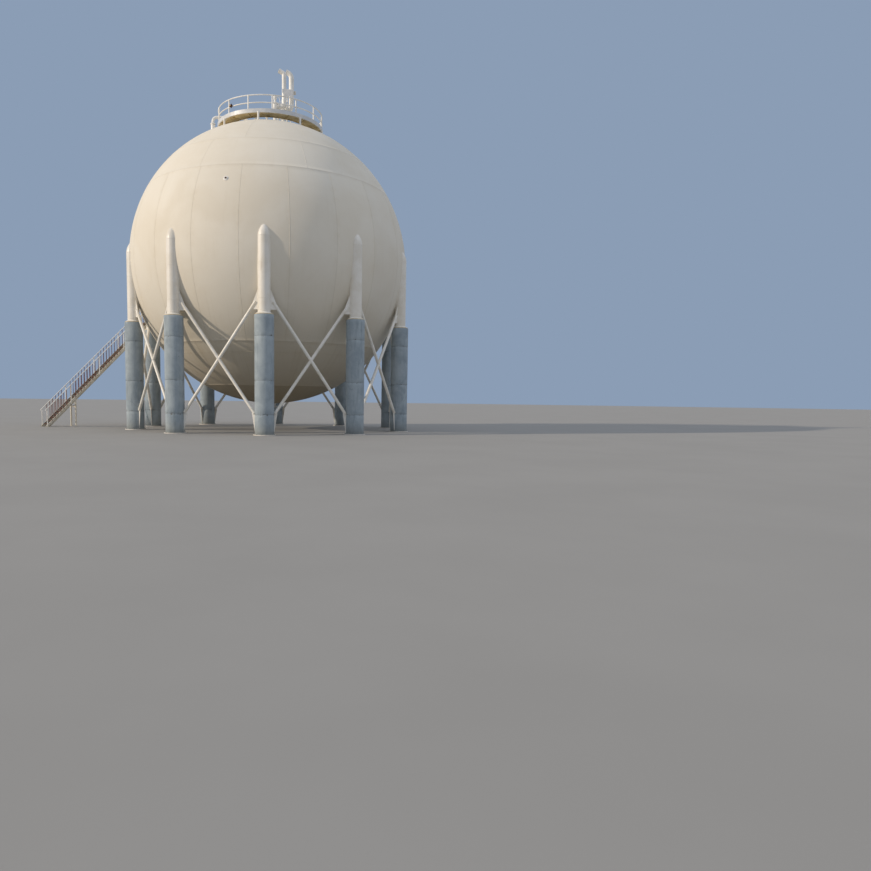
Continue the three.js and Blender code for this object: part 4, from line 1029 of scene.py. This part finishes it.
top_landing = Piece()
LANDING_EDGE = (TOP_LANDING_WIDTH - STAIR_RAIL_SIZE) / 2
top_ends = [Station(around(HEAD_ANGLE, reach, DECK_TOP), outwards(HEAD_ANGLE))
            for reach in (DECK_OUTER + 2 * STAIR_RAIL_SIZE, HEAD_REACH - STAIR_RAIL_SIZE)]
plate_span = (DECK_OUTER + 0.002, HEAD_REACH - 0.002)
plate_length = plate_span[1] - plate_span[0]
floor_middle = Station(around(HEAD_ANGLE, sum(plate_span) / 2, DECK_TOP), outwards(HEAD_ANGLE))
top_landing.add(slab(plate_length, TOP_LANDING_WIDTH, 0.012, 0.002), TREAD_PLATE,
                [floor_middle.block(0, -0.006)])
add_chequer(top_landing, floor_middle.block(), plate_length, TOP_LANDING_WIDTH)
for offset in (-LANDING_EDGE, LANDING_EDGE):
    top_landing.add(slab(plate_length, 0.01, DECK_THICKNESS, 0.002), WHITE_STEEL,
                    [floor_middle.block(offset, -DECK_THICKNESS / 2)])
    add_landing_side(top_landing, top_ends, offset, screen=True)
    head = top_ends[1].spot + top_ends[1].side * offset
    reach = math.hypot(head.x, head.y)
    low = height_on_crown(reach + LANDING_LEG_SIZE) - 0.02
    leg_length = DECK_UNDERSIDE + 0.03 - low
    leg = upright(Vector((head.x, head.y, low + leg_length / 2)), outwards(HEAD_ANGLE))
    top_landing.add(slab(LANDING_LEG_SIZE, LANDING_LEG_SIZE, leg_length, 0.005), WHITE_STEEL, [leg])
    foot = Vector((head.x, head.y, height_on_crown(reach)))
    top_landing.add(slab(0.2, 0.2, 0.016, 0.003), WHITE_STEEL, [facing(foot, foot - CENTRE)])
for share in (0.0, 0.5, 1.0):
    spot = between(*top_ends, share).block(0, -0.045)
    top_landing.add(slab(0.01, TOP_LANDING_WIDTH - 0.06, 0.06, 0.002), WHITE_STEEL, [spot])
top_landing.finish("stair_top_landing_frame", "stair", "stair_top_landing")

mid_landing = Piece()
MID_HALF = MID_WIDTH / 2
mid_corners = [around(angle, reach) for angle, reach in (
    (MID_START, STAIR_RADIUS - MID_HALF), (MID_START, STAIR_RADIUS + MID_HALF),
    (LOWER_FLIGHT["angle"], STAIR_RADIUS + MID_HALF), (LOWER_FLIGHT["angle"], STAIR_RADIUS - MID_HALF))]
mid_place = Matrix.Translation((0, 0, MID_HEIGHT))
floor = along([Matrix.Translation((0, 0, MID_HEIGHT - z)) for z in (0.014, 0.002)],
              [(c.x, c.y) for c in mid_corners])
mid_landing.add(floor, TREAD_PLATE)
mid_angle = (MID_START + LOWER_FLIGHT["angle"]) / 2
chord = (mid_corners[2] + mid_corners[3]) / 2 - (mid_corners[0] + mid_corners[1]) / 2
mid_centre = around(mid_angle, STAIR_RADIUS, MID_HEIGHT)
add_chequer(mid_landing, upright(mid_centre - UP * 0.003, chord), 1.42, 0.82)
for first, second in zip(mid_corners, mid_corners[1:] + mid_corners[:1]):
    inset = ((first + second) / 2 - mid_centre.xy.to_3d()).normalized() * 0.006
    middle = (first + second) / 2 - inset + UP * (MID_HEIGHT - MID_THICKNESS / 2 - 0.001)
    mid_landing.add(slab((second - first).length - 0.01, 0.01, MID_THICKNESS, 0.002), WHITE_STEEL,
                    [upright(middle, second - first)])
strut_angles = [MID_START + 1, LOWER_FLIGHT["angle"] - 1]
mid_ends = [Station(around(angle, STAIR_RADIUS, MID_HEIGHT), onwards(angle)) for angle in strut_angles]
under_mid = MID_HEIGHT - MID_THICKNESS / 2
for angle in strut_angles:
    brace_head = around(angle, STAIR_RADIUS + MID_HALF - 2 * STRUT_RADIUS, under_mid)
    brace_foot = around(angle, TANK_RADIUS - 0.03, CENTRE_HEIGHT - STRUT_DROP)
    mid_landing.add(pipe([brace_head, brace_foot], STRUT_RADIUS, 18), WHITE_STEEL)
    arm = [around(angle, reach, under_mid - STRUT_RADIUS) for reach in (STAIR_RADIUS + 0.3, TANK_RADIUS - 0.02)]
    mid_landing.add(pipe(arm, STRUT_RADIUS, 18), WHITE_STEEL)
    for foot in (brace_foot, arm[1]):
        pad = CENTRE + (foot - CENTRE).normalized() * TANK_RADIUS
        mid_landing.add(spun([(0, -0.01), (0.11, -0.01), (0.11, 0.012), (0, 0.012)], 28), WHITE_STEEL,
                        [facing(pad, pad - CENTRE)])
for offset in (-(MID_HALF - STAIR_RAIL_SIZE), MID_HALF - STAIR_RAIL_SIZE):
    add_landing_side(mid_landing, mid_ends, offset)
mid_landing.finish("stair_mid_landing_frame", "stair", "stair_mid_landing")


# The stair's flights

STRINGER_OFFSET = (STAIR_WIDTH - STRINGER_THICKNESS) / 2
STRINGER_LIFT = STRINGER_LIP - STRINGER_DEPTH / 2
RAIL_OFFSET = (STAIR_WIDTH + STAIR_POST_SIZE) / 2


def channel_outline(side):
    """A rolled channel on its web, open to the treads."""
    half, depth, web, toe = STRINGER_THICKNESS / 2, STRINGER_DEPTH / 2, 0.01, 0.014
    points = [(-half, -depth), (half, -depth), (half, toe - depth), (web - half, toe - depth),
              (web - half, depth - toe), (half, depth - toe), (half, depth), (-half, depth)]
    return [(x * side, y) for x, y in points]


def tread(going):
    """A folded tread plate with its nose turned down, centred over its going."""
    length = going + TREAD_NOSE
    width = STAIR_WIDTH - 2 * STRINGER_THICKNESS + 0.062
    fold = [(-length / 2, 0), (length / 2 - 0.006, 0), (length / 2, -0.006), (length / 2, -TREAD_THICKNESS),
            (length / 2 - 0.006, -TREAD_THICKNESS), (length / 2 - 0.006, -0.008), (-length / 2, -0.008)]
    ends = [place((0, y, 0), Vector((1, 0, 0)), UP, Vector((0, -1, 0))) for y in (-width / 2, width / 2)]
    return along(ends, fold)


def add_flight(piece, stations, going, ends):
    for side in (-1, 1):
        spots = [s.section(side * STRINGER_OFFSET, STRINGER_LIFT) for s in ends]
        outline = channel_outline(-side)
        piece.add(along(spots, outline), STAIR_STEEL)
    treads = [between(a, b) for a, b in zip(stations, stations[1:-1])]
    heights = [s.spot.z for s in stations[1:-1]]
    spots, cleats = [], []
    for step, height in zip(treads, heights):
        spot = Station(Vector((step.spot.x, step.spot.y, height)), step.heading).block()
        spots.append(spot @ Matrix.Translation((TREAD_NOSE / 2, 0, 0)))
        cleats += [spot @ Matrix.Translation((0, side * (STAIR_WIDTH / 2 - 0.045), -0.03)) for side in (-1, 1)]
    piece.add(tread(going), TREAD_PLATE, spots)
    piece.add(slab(going * 0.7, 0.02, 0.04, 0.002), STAIR_STEEL, cleats)


upper = Piece()
add_flight(upper, UPPER_LINE, UPPER_FLIGHT["going"], UPPER_LINE)
for index in UPPER_FLIGHT["struts"]:
    for side in (-1, 1):
        station = UPPER_LINE[index]
        head = station.spot + station.side * side * STRINGER_OFFSET + UP * STRINGER_LIFT
        out = (head - CENTRE).normalized()
        foot = CENTRE + out * TANK_RADIUS
        upper.add(pipe([head, foot - out * 0.02], FLIGHT_STRUT_RADIUS, 16), STAIR_STEEL)
        upper.add(spun([(0, -0.008), (0.1, -0.008), (0.1, 0.01), (0, 0.01)], 24), STAIR_STEEL,
                  [facing(foot, out)])
upper.finish("stair_upper_flight_steps", "stair", "stair_upper_flight")


def cut_at_ground(piece):
    """The stringers stand on the ground, cut level."""
    bm = piece.bm
    parts = bm.verts[:] + bm.edges[:] + bm.faces[:]
    made = bmesh.ops.bisect_plane(bm, geom=parts, plane_co=(0, 0, 0), plane_no=(0, 0, -1), clear_outer=True)
    edges = [part for part in made["geom_cut"] if isinstance(part, bmesh.types.BMEdge)]
    bmesh.ops.holes_fill(bm, edges=edges, sides=0)


lower_stair = Piece()
foot_end = LOWER_LINE[-1]
add_flight(lower_stair, LOWER_LINE, LOWER_FLIGHT["going"], [LOWER_LINE[0], foot_end])
cut_at_ground(lower_stair)
trestle = LOWER_LINE[LOWER_FLIGHT["trestle"]]
trestle_top = trestle.spot.z + STRINGER_LIFT - STRINGER_DEPTH / 2 + 0.03
for side in (-1, 1):
    ground_spot = Station(trestle.spot.xy.to_3d(), trestle.heading)
    lower_stair.add(slab(TRESTLE_SIZE, TRESTLE_SIZE, trestle_top, 0.006), STAIR_STEEL,
                    [ground_spot.block(side * STRINGER_OFFSET, trestle_top / 2)])
    lower_stair.add(slab(0.18, 0.18, 0.014, 0.002), STAIR_STEEL,
                    [ground_spot.block(side * STRINGER_OFFSET, 0.0075)])
    shoe = Station(foot_end.spot.xy.to_3d(), foot_end.heading)
    lower_stair.add(slab(0.3, 0.1, 0.012, 0.002), STAIR_STEEL,
                    [shoe.block(side * STRINGER_OFFSET, 0.0065) @ Matrix.Translation((-0.16, 0, 0))])
bar_height = trestle.spot.z - 2 * STRINGER_DEPTH
lower_stair.add(slab(TRESTLE_SIZE / 2, STAIR_WIDTH - STRINGER_THICKNESS, TRESTLE_SIZE, 0.004), STAIR_STEEL,
                [Station(trestle.spot.xy.to_3d(), trestle.heading).block(0, bar_height)])
lower_stair.finish("stair_lower_flight_steps", "stair", "stair_lower_flight")


def handrail_piece(stations, ends, side, rungs, bar_steel, knee_rail):
    """A handrail with its posts, and a baluster at each step."""
    piece = Piece()
    offset = side * RAIL_OFFSET
    lift = STAIR_RAIL_HEIGHT - STAIR_RAIL_SIZE / 2
    spans = len(stations) - 1
    posts = []
    for i in range(rungs + 1):
        span = min(spans - 1, int(i * spans / rungs + 0.5))
        posts.append(span)
        station = between(stations[span], stations[span + 1])
        low = max(-STRINGER_DEPTH / 2, 0.001 - station.spot.z)
        piece.add(slab(STAIR_POST_SIZE, STAIR_POST_SIZE, lift - low, 0.004), WHITE_STEEL,
                  [station.block(offset, (lift + low) / 2)])
        piece.add(bolt(0.012), ZINC, [station.block(offset + side * STAIR_POST_SIZE / 2, drop)
                                      @ Matrix.Rotation(math.radians(90 * side), 4, "X")
                                      for drop in (-0.04, 0.01)])
    piece.add(along([s.section(offset, lift) for s in ends], circle(HANDRAIL_RADIUS, 14)), WHITE_STEEL)
    if knee_rail:
        piece.add(along([s.section(offset, lift * 0.55) for s in ends], circle(0.014, 8)), WHITE_STEEL)
    for i in range(1, spans):
        if i in posts or i - 1 in posts:
            continue
        station = stations[i]
        low = max(STRINGER_LIFT + STRINGER_DEPTH / 2 - 0.06, 0.001 - station.spot.z)
        piece.add(slab(BALUSTER_SIZE, BALUSTER_SIZE, lift - low, 0.002), bar_steel,
                  [station.block(offset - side * 0.012, (lift + low) / 2)])
    return piece


for name, side in (("inner", -1), ("outer", 1)):
    handrail_piece(UPPER_LINE, UPPER_LINE, side, UPPER_FLIGHT["rungs"], WHITE_STEEL, knee_rail=True).finish(
        f"upper_handrail_{name}_bars", "stair", f"upper_handrail_{name}")
    handrail_piece(LOWER_LINE, [LOWER_LINE[0], foot_end], side, LOWER_FLIGHT["rungs"],
                   PRIMED_STEEL, knee_rail=False).finish(
        f"lower_handrail_{name}_bars", "stair", f"lower_handrail_{name}")


# The relief valves and their vent stacks

for kit in RELIEF_SETS:
    base = TOP_NOZZLES[kit["nozzle"]]
    foot = around(base["angle"], base["reach"], base["height"])
    outlet = Vector((foot.x, foot.y, kit["outlet"]))
    stack_foot = Vector((*kit["stack"], kit["outlet"]))
    out = (stack_foot - outlet).normalized()
    face = outlet + out * (VALVE_RADIUS + VALVE_OUTLET)
    spot = Matrix.Translation(foot)
    body_low, body_high = outlet.z - foot.z - 0.22, outlet.z - foot.z + 0.2
    valve = Piece()
    valve.flanges(spot, base["flange"], FLANGE_THICKNESS, 12, WHITE_STEEL)
    valve.add(spun([(0, 0.03), (base["radius"], 0.03), (base["radius"], body_low), (0, body_low)], 32),
              WHITE_STEEL, [spot])
    body = [(0, body_low), (VALVE_RADIUS * 0.8, body_low), (VALVE_RADIUS, body_low + 0.05),
            (VALVE_RADIUS * 1.06, (body_low + body_high) / 2), (VALVE_RADIUS, body_high - 0.05),
            (VALVE_RADIUS, body_high), (0, body_high)]
    valve.add(spun(body, 36), WHITE_STEEL, [spot])
    bonnet_height = BONNET_TOP - foot.z
    bonnet = [(0, body_high), (0.13, body_high), (0.075, body_high + 0.09), (0.075, bonnet_height - 0.3),
              (BONNET_RADIUS, bonnet_height - 0.26), (BONNET_RADIUS, bonnet_height - 0.09),
              (0.08, bonnet_height - 0.02), (0.05, bonnet_height), (0, bonnet_height)]
    valve.add(spun(bonnet, 32), WHITE_STEEL, [spot])
    valve.flanges(spot @ Matrix.Translation((0, 0, body_high)), 0.195, 0.035, 10, WHITE_STEEL, 0.013)
    valve.add(pipe([outlet, face], kit["radius"] * 0.9, 28), WHITE_STEEL)
    lever = foot + UP * (bonnet_height - 0.1)
    lever_route = bent([lever, lever + Vector((0.27, -0.03, 0.02)), lever + Vector((0.33, -0.04, -0.36))], 0.24, 8)
    valve.add(pipe(lever_route, 0.02, 10), WHITE_STEEL)
    valve.flanges(facing(face - out * 0.001, out), kit["radius"] * 1.32, 0.03, 12, WHITE_STEEL, 0.014)
    valve.finish(f"relief_valve_{kit['number']}_body", "piping", f"relief_valve_{kit['number']}")

    stack = Piece()
    top = Vector((*kit["stack"], kit["bend_height"]))
    start = face + out * 0.03
    halfway = stack_foot.lerp(top, 0.5)
    route = bent([start, stack_foot, halfway], kit["foot_bend"], 10)
    route += bent([halfway, top, kit["tip"]], kit["head_bend"], 10)[1:]
    stack.add(pipe(route, kit["radius"], 36), WHITE_STEEL)
    mouth = facing(Vector(kit["tip"]), Vector(kit["tip"]) - top)
    radius = kit["radius"]
    stack.add(spun([(radius * 0.9, -0.05), (radius * 1.04, -0.05), (radius * 1.04, 0.012),
                    (radius * 0.9, 0.012)], 36, closed=True), WHITE_STEEL, [mouth])
    # A dark rust disc closes the bore just inside the mouth: rust on the inside of the stack, and painted shade for
    # the dark of the open pipe.
    stack.add(spun([(0, -0.03), (radius * 0.9, -0.03), (radius * 0.9, 0.003), (0, 0.003)], 36), SCALE, [mouth])
    for height in (kit["outlet"] + 0.42, kit["bend_height"] - 0.3):
        ring = [(radius - 0.003, -0.014), (radius + 0.007, -0.007), (radius + 0.007, 0.007), (radius - 0.003, 0.014)]
        stack.add(spun(ring, 36, closed=True), WHITE_STEEL,
                  [Matrix.Translation((*kit["stack"], height))])
    stack.finish(f"vent_stack_{kit['number']}_pipe", "piping", f"vent_stack_{kit['number']}")

tie = Piece()
tie.add(plate(TIE_PLATE["outline"], TIE_PLATE["thickness"], 0.006), GREY_STEEL,
        [Matrix.Translation((0, TIE_PLATE["middle"], 0))])
clamp_x, clamp_y = RELIEF_SETS[1]["stack"]
clamp_radius, half_width = RELIEF_SETS[1]["radius"], TIE_CLAMP["width"] / 2
ear = TIE_CLAMP["length"] / 2
clamp_low = TIE_CLAMP["middle"] - TIE_CLAMP["height"] / 2
for side in (-1, 1):
    strap = [(clamp_radius + 0.002, 0), (clamp_radius + 0.024, 0), (clamp_radius + 0.024, TIE_CLAMP["height"]),
             (clamp_radius + 0.002, TIE_CLAMP["height"])]
    lug = Matrix.Translation((clamp_x + side * (clamp_radius + 0.02 + ear) / 2, clamp_y, TIE_CLAMP["middle"]))
    lug_length = ear - clamp_radius - 0.02
    for half in (-1, 1):
        tie.add(slab(lug_length, 0.07, TIE_CLAMP["height"], 0.02), CREAM_STEEL,
                [lug @ Matrix.Translation((0, half * 0.037, 0))])
    tie.add(bolt(0.018), ZINC, [lug @ Matrix.Translation((0, -0.073, lift)) @ Matrix.Rotation(math.pi / 2, 4, "X")
                                for lift in (-0.05, 0.05)])
tie.add(spun(strap, 40, closed=True), CREAM_STEEL, [Matrix.Translation((clamp_x, clamp_y, clamp_low))])
arm_end = clamp_y - clamp_radius - 0.02
arm_middle = Vector(((TIE_ARM["from"] + TIE_ARM["to"]) / 2, (TIE_PLATE["middle"] + arm_end) / 2,
                     (TIE_ARM["low"] + TIE_ARM["high"]) / 2))
tie.add(slab(TIE_ARM["to"] - TIE_ARM["from"], arm_end - TIE_PLATE["middle"], TIE_ARM["high"] - TIE_ARM["low"], 0.006),
        WHITE_STEEL, [Matrix.Translation(arm_middle)])
for x, y in TIE_LEGS["places"]:
    leg_foot = Vector((x, y, height_on_crown(math.hypot(x, y))))
    tie.add(pipe([leg_foot - UP * 0.02, Vector((x, y, TIE_ARM["low"] + 0.01))], TIE_LEGS["radius"], 16),
            WHITE_STEEL)
    tie.add(slab(0.16, 0.16, 0.014, 0.002), WHITE_STEEL, [facing(leg_foot, leg_foot - CENTRE)])
tie.finish("stack_tie_plate_frame", "piping", "stack_tie_plate")


# The water spray main

main = Piece()
spray_reach = TANK_RADIUS + SPRAY_STANDOFF
crown_foot = Vector((*SPRAY_CROWN, height_on_crown(math.hypot(*SPRAY_CROWN)) - 0.03))
crown_head = Vector((crown_foot.x, crown_foot.y, SPRAY_HEIGHT))
drop_head = Vector((*SPRAY_DROP, SPRAY_HEIGHT))
flange_spot = Vector((*SPRAY_DROP, SPRAY_FLANGE["height"]))
main.add(pipe(bent([crown_foot, crown_head, drop_head, flange_spot], SPRAY_BEND, 10), SPRAY_UPPER_RADIUS, 24),
         WHITE_STEEL)
drop_reach = math.hypot(*SPRAY_DROP)
drop_angle = math.degrees(math.atan2(SPRAY_DROP[0], -SPRAY_DROP[1]))
drop_latitude = math.degrees(math.acos(drop_reach / spray_reach))
shell_route = []
for i in range(SPRAY_STEPS):
    part = i / (SPRAY_STEPS - 1)
    swing = (1 - math.cos(math.pi * part)) / 2
    shell_route.append(on_shell(drop_angle + (SPRAY_FOOT_ANGLE - drop_angle) * swing,
                                drop_latitude * (1 - part), spray_reach))
main_foot = around(SPRAY_FOOT_ANGLE, spray_reach)
route = bent([flange_spot, *shell_route, main_foot], SPRAY_BEND, 8)
main.add(pipe(route, SPRAY_LOWER_RADIUS, 28), WHITE_STEEL)
main.flanges(Matrix.Translation(flange_spot - UP * 0.035), SPRAY_FLANGE["radius"], 0.034, 12, WHITE_STEEL)
for foot in (crown_foot,):
    main.add(spun([(0, 0), (0.15, 0), (0.15, 0.03), (SPRAY_UPPER_RADIUS, 0.04), (0, 0.04)], 32), WHITE_STEEL,
             [Matrix.Translation(foot + UP * 0.03)])
footing = upright(main_foot, outwards(SPRAY_FOOT_ANGLE))
main.add(slab(SPRAY_FOOT_SIZE, SPRAY_FOOT_SIZE, SPRAY_FOOT_THICKNESS, 0.004), WHITE_STEEL,
         [footing @ Matrix.Translation((0, 0, SPRAY_FOOT_THICKNESS / 2 + 0.0005))])
main.add(bolt(0.02), ZINC, [footing @ Matrix.Translation((x, y, SPRAY_FOOT_THICKNESS))
                            for x in (-0.15, 0.15) for y in (-0.15, 0.15)])
for i, spot in enumerate(shell_route[1:], 1):
    out = (spot - CENTRE).normalized()
    foot = CENTRE + out * TANK_RADIUS
    main.add(pipe([spot, foot - out * 0.02], SPRAY_LOWER_RADIUS / 3, 14), WHITE_STEEL)
    main.add(spun([(0, -0.008), (0.12, -0.008), (0.12, 0.012), (0, 0.012)], 28), WHITE_STEEL, [facing(foot, out)])
    after = shell_route[i + 1] if i + 1 < len(shell_route) else main_foot
    direction = (after - shell_route[i - 1]).normalized()
    clamp = [(SPRAY_LOWER_RADIUS - 0.002, -0.035), (SPRAY_LOWER_RADIUS + 0.012, -0.035),
             (SPRAY_LOWER_RADIUS + 0.012, 0.035), (SPRAY_LOWER_RADIUS - 0.002, 0.035)]
    main.add(spun(clamp, 28, closed=True), WHITE_STEEL, [facing(spot, direction)])
MID_KICK = DECK_TOP + KICK_HEIGHT / 2
for lift in (0.0, -0.32):
    bracket = [Vector((*SPRAY_DROP, MID_KICK + lift)), around(drop_angle, DECK_OUTER - 0.02, MID_KICK + lift * 0.5)]
    main.add(pipe(bracket, SPRAY_UPPER_RADIUS / 2, 14), WHITE_STEEL)
for height in (7.4, 4.2, 1.2):
    ring = [(SPRAY_LOWER_RADIUS - 0.002, -0.012), (SPRAY_LOWER_RADIUS + 0.007, -0.006),
            (SPRAY_LOWER_RADIUS + 0.007, 0.006), (SPRAY_LOWER_RADIUS - 0.002, 0.012)]
    main.add(spun(ring, 28, closed=True), WHITE_STEEL, [Matrix.Translation((main_foot.x, main_foot.y, height))])
main.finish("spray_main_pipe", "piping", "spray_main")


# The stage: a pale floor and soft light from the upper left

def flat_finish(name, colour, rough):
    finish = Finish(name, roughness=rough)
    shade = finish.mix(finish.band(finish.cloud(4000), 0.3, 0.7, 0, 0.3), colour, "93928f")
    return finish.done(shade)


ground = bmesh.new()
bmesh.ops.create_circle(ground, cap_ends=True, segments=96, radius=400)
floor_mesh = bpy.data.meshes.new("studio_floor")
ground.to_mesh(floor_mesh)
ground.free()
floor_mesh.materials.append(flat_finish("pale_studio_floor", "9f9e9b", 0.9))
studio_floor = bpy.data.objects.new("studio_floor", floor_mesh)
studio_floor.location.z = -0.002
bpy.context.scene.collection.objects.link(studio_floor)

world = bpy.data.worlds.new("soft_studio")
bpy.context.scene.world = world
world.use_nodes = True
sky = world.node_tree.nodes["Background"]
sky.inputs["Color"].default_value = linear("e4ecfa")
sky.inputs["Strength"].default_value = 0.5
backdrop = add_node(world.node_tree, "ShaderNodeBackground", {"Color": linear("8b9db5"), "Strength": 1.0})
seen = add_node(world.node_tree, "ShaderNodeLightPath")
both = add_node(world.node_tree, "ShaderNodeMixShader",
                {0: seen.outputs["Is Camera Ray"], 1: sky.outputs[0], 2: backdrop.outputs[0]})
world.node_tree.links.new(both.outputs[0], world.node_tree.nodes["World Output"].inputs["Surface"])


def add_sun(name, angle, height, strength, softness, colour):
    """A distant light that stands at an angle round the tank and so many degrees up."""
    light = bpy.data.lights.new(name, "SUN")
    light.energy = strength
    light.angle = math.radians(softness)
    light.color = linear(colour)[:3]
    lamp = bpy.data.objects.new(name, light)
    bpy.context.scene.collection.objects.link(lamp)
    towards = around(angle, math.cos(math.radians(height)), math.sin(math.radians(height)))
    lamp.rotation_euler = towards.to_track_quat("Z", "Y").to_euler()
    lamp.location = towards * 60


add_sun("key_light", angle=-75, height=22, strength=2.45, softness=1, colour="ffeed8")
add_sun("fill_light", angle=70, height=62, strength=0.42, softness=60, colour="e8eefa")

# The camera stands where the photograph was taken, a little above the ground in front
CAMERA_SPOT = Vector((2.1197, -49.8159, 2.0963))
CAMERA_PAN, CAMERA_PITCH, CAMERA_ROLL = 0.103, -0.0972, -0.0125
FOCAL_PIXELS, FRAME_PIXELS, SENSOR = 719.1446, 871, 36.0
OPTICAL_CENTRE = (376.2078, 469.4045)

roll, pitch = CAMERA_ROLL, CAMERA_PITCH
rolled = Matrix(((math.cos(roll), 0, -math.sin(roll)), (0, 1, 0), (math.sin(roll), 0, math.cos(roll))))
pitched = Matrix(((1, 0, 0), (0, math.cos(pitch), math.sin(pitch)), (0, -math.sin(pitch), math.cos(pitch))))
right, forward, upward = (rolled @ pitched)
pan = Matrix(((math.cos(CAMERA_PAN), math.sin(CAMERA_PAN), 0),
              (-math.sin(CAMERA_PAN), math.cos(CAMERA_PAN), 0), (0, 0, 1)))
lens = bpy.data.cameras.new("camera")
lens.sensor_width = SENSOR
lens.lens = FOCAL_PIXELS / FRAME_PIXELS * SENSOR
lens.shift_x = (FRAME_PIXELS / 2 - OPTICAL_CENTRE[0]) / FRAME_PIXELS
lens.shift_y = (OPTICAL_CENTRE[1] - FRAME_PIXELS / 2) / FRAME_PIXELS
lens.clip_end = 2000
camera = bpy.data.objects.new("camera", lens)
bpy.context.scene.collection.objects.link(camera)
camera.matrix_world = place(CAMERA_SPOT, pan @ right, pan @ upward, -(pan @ forward))
bpy.context.scene.camera = camera
bpy.context.scene.view_settings.view_transform = "Standard"
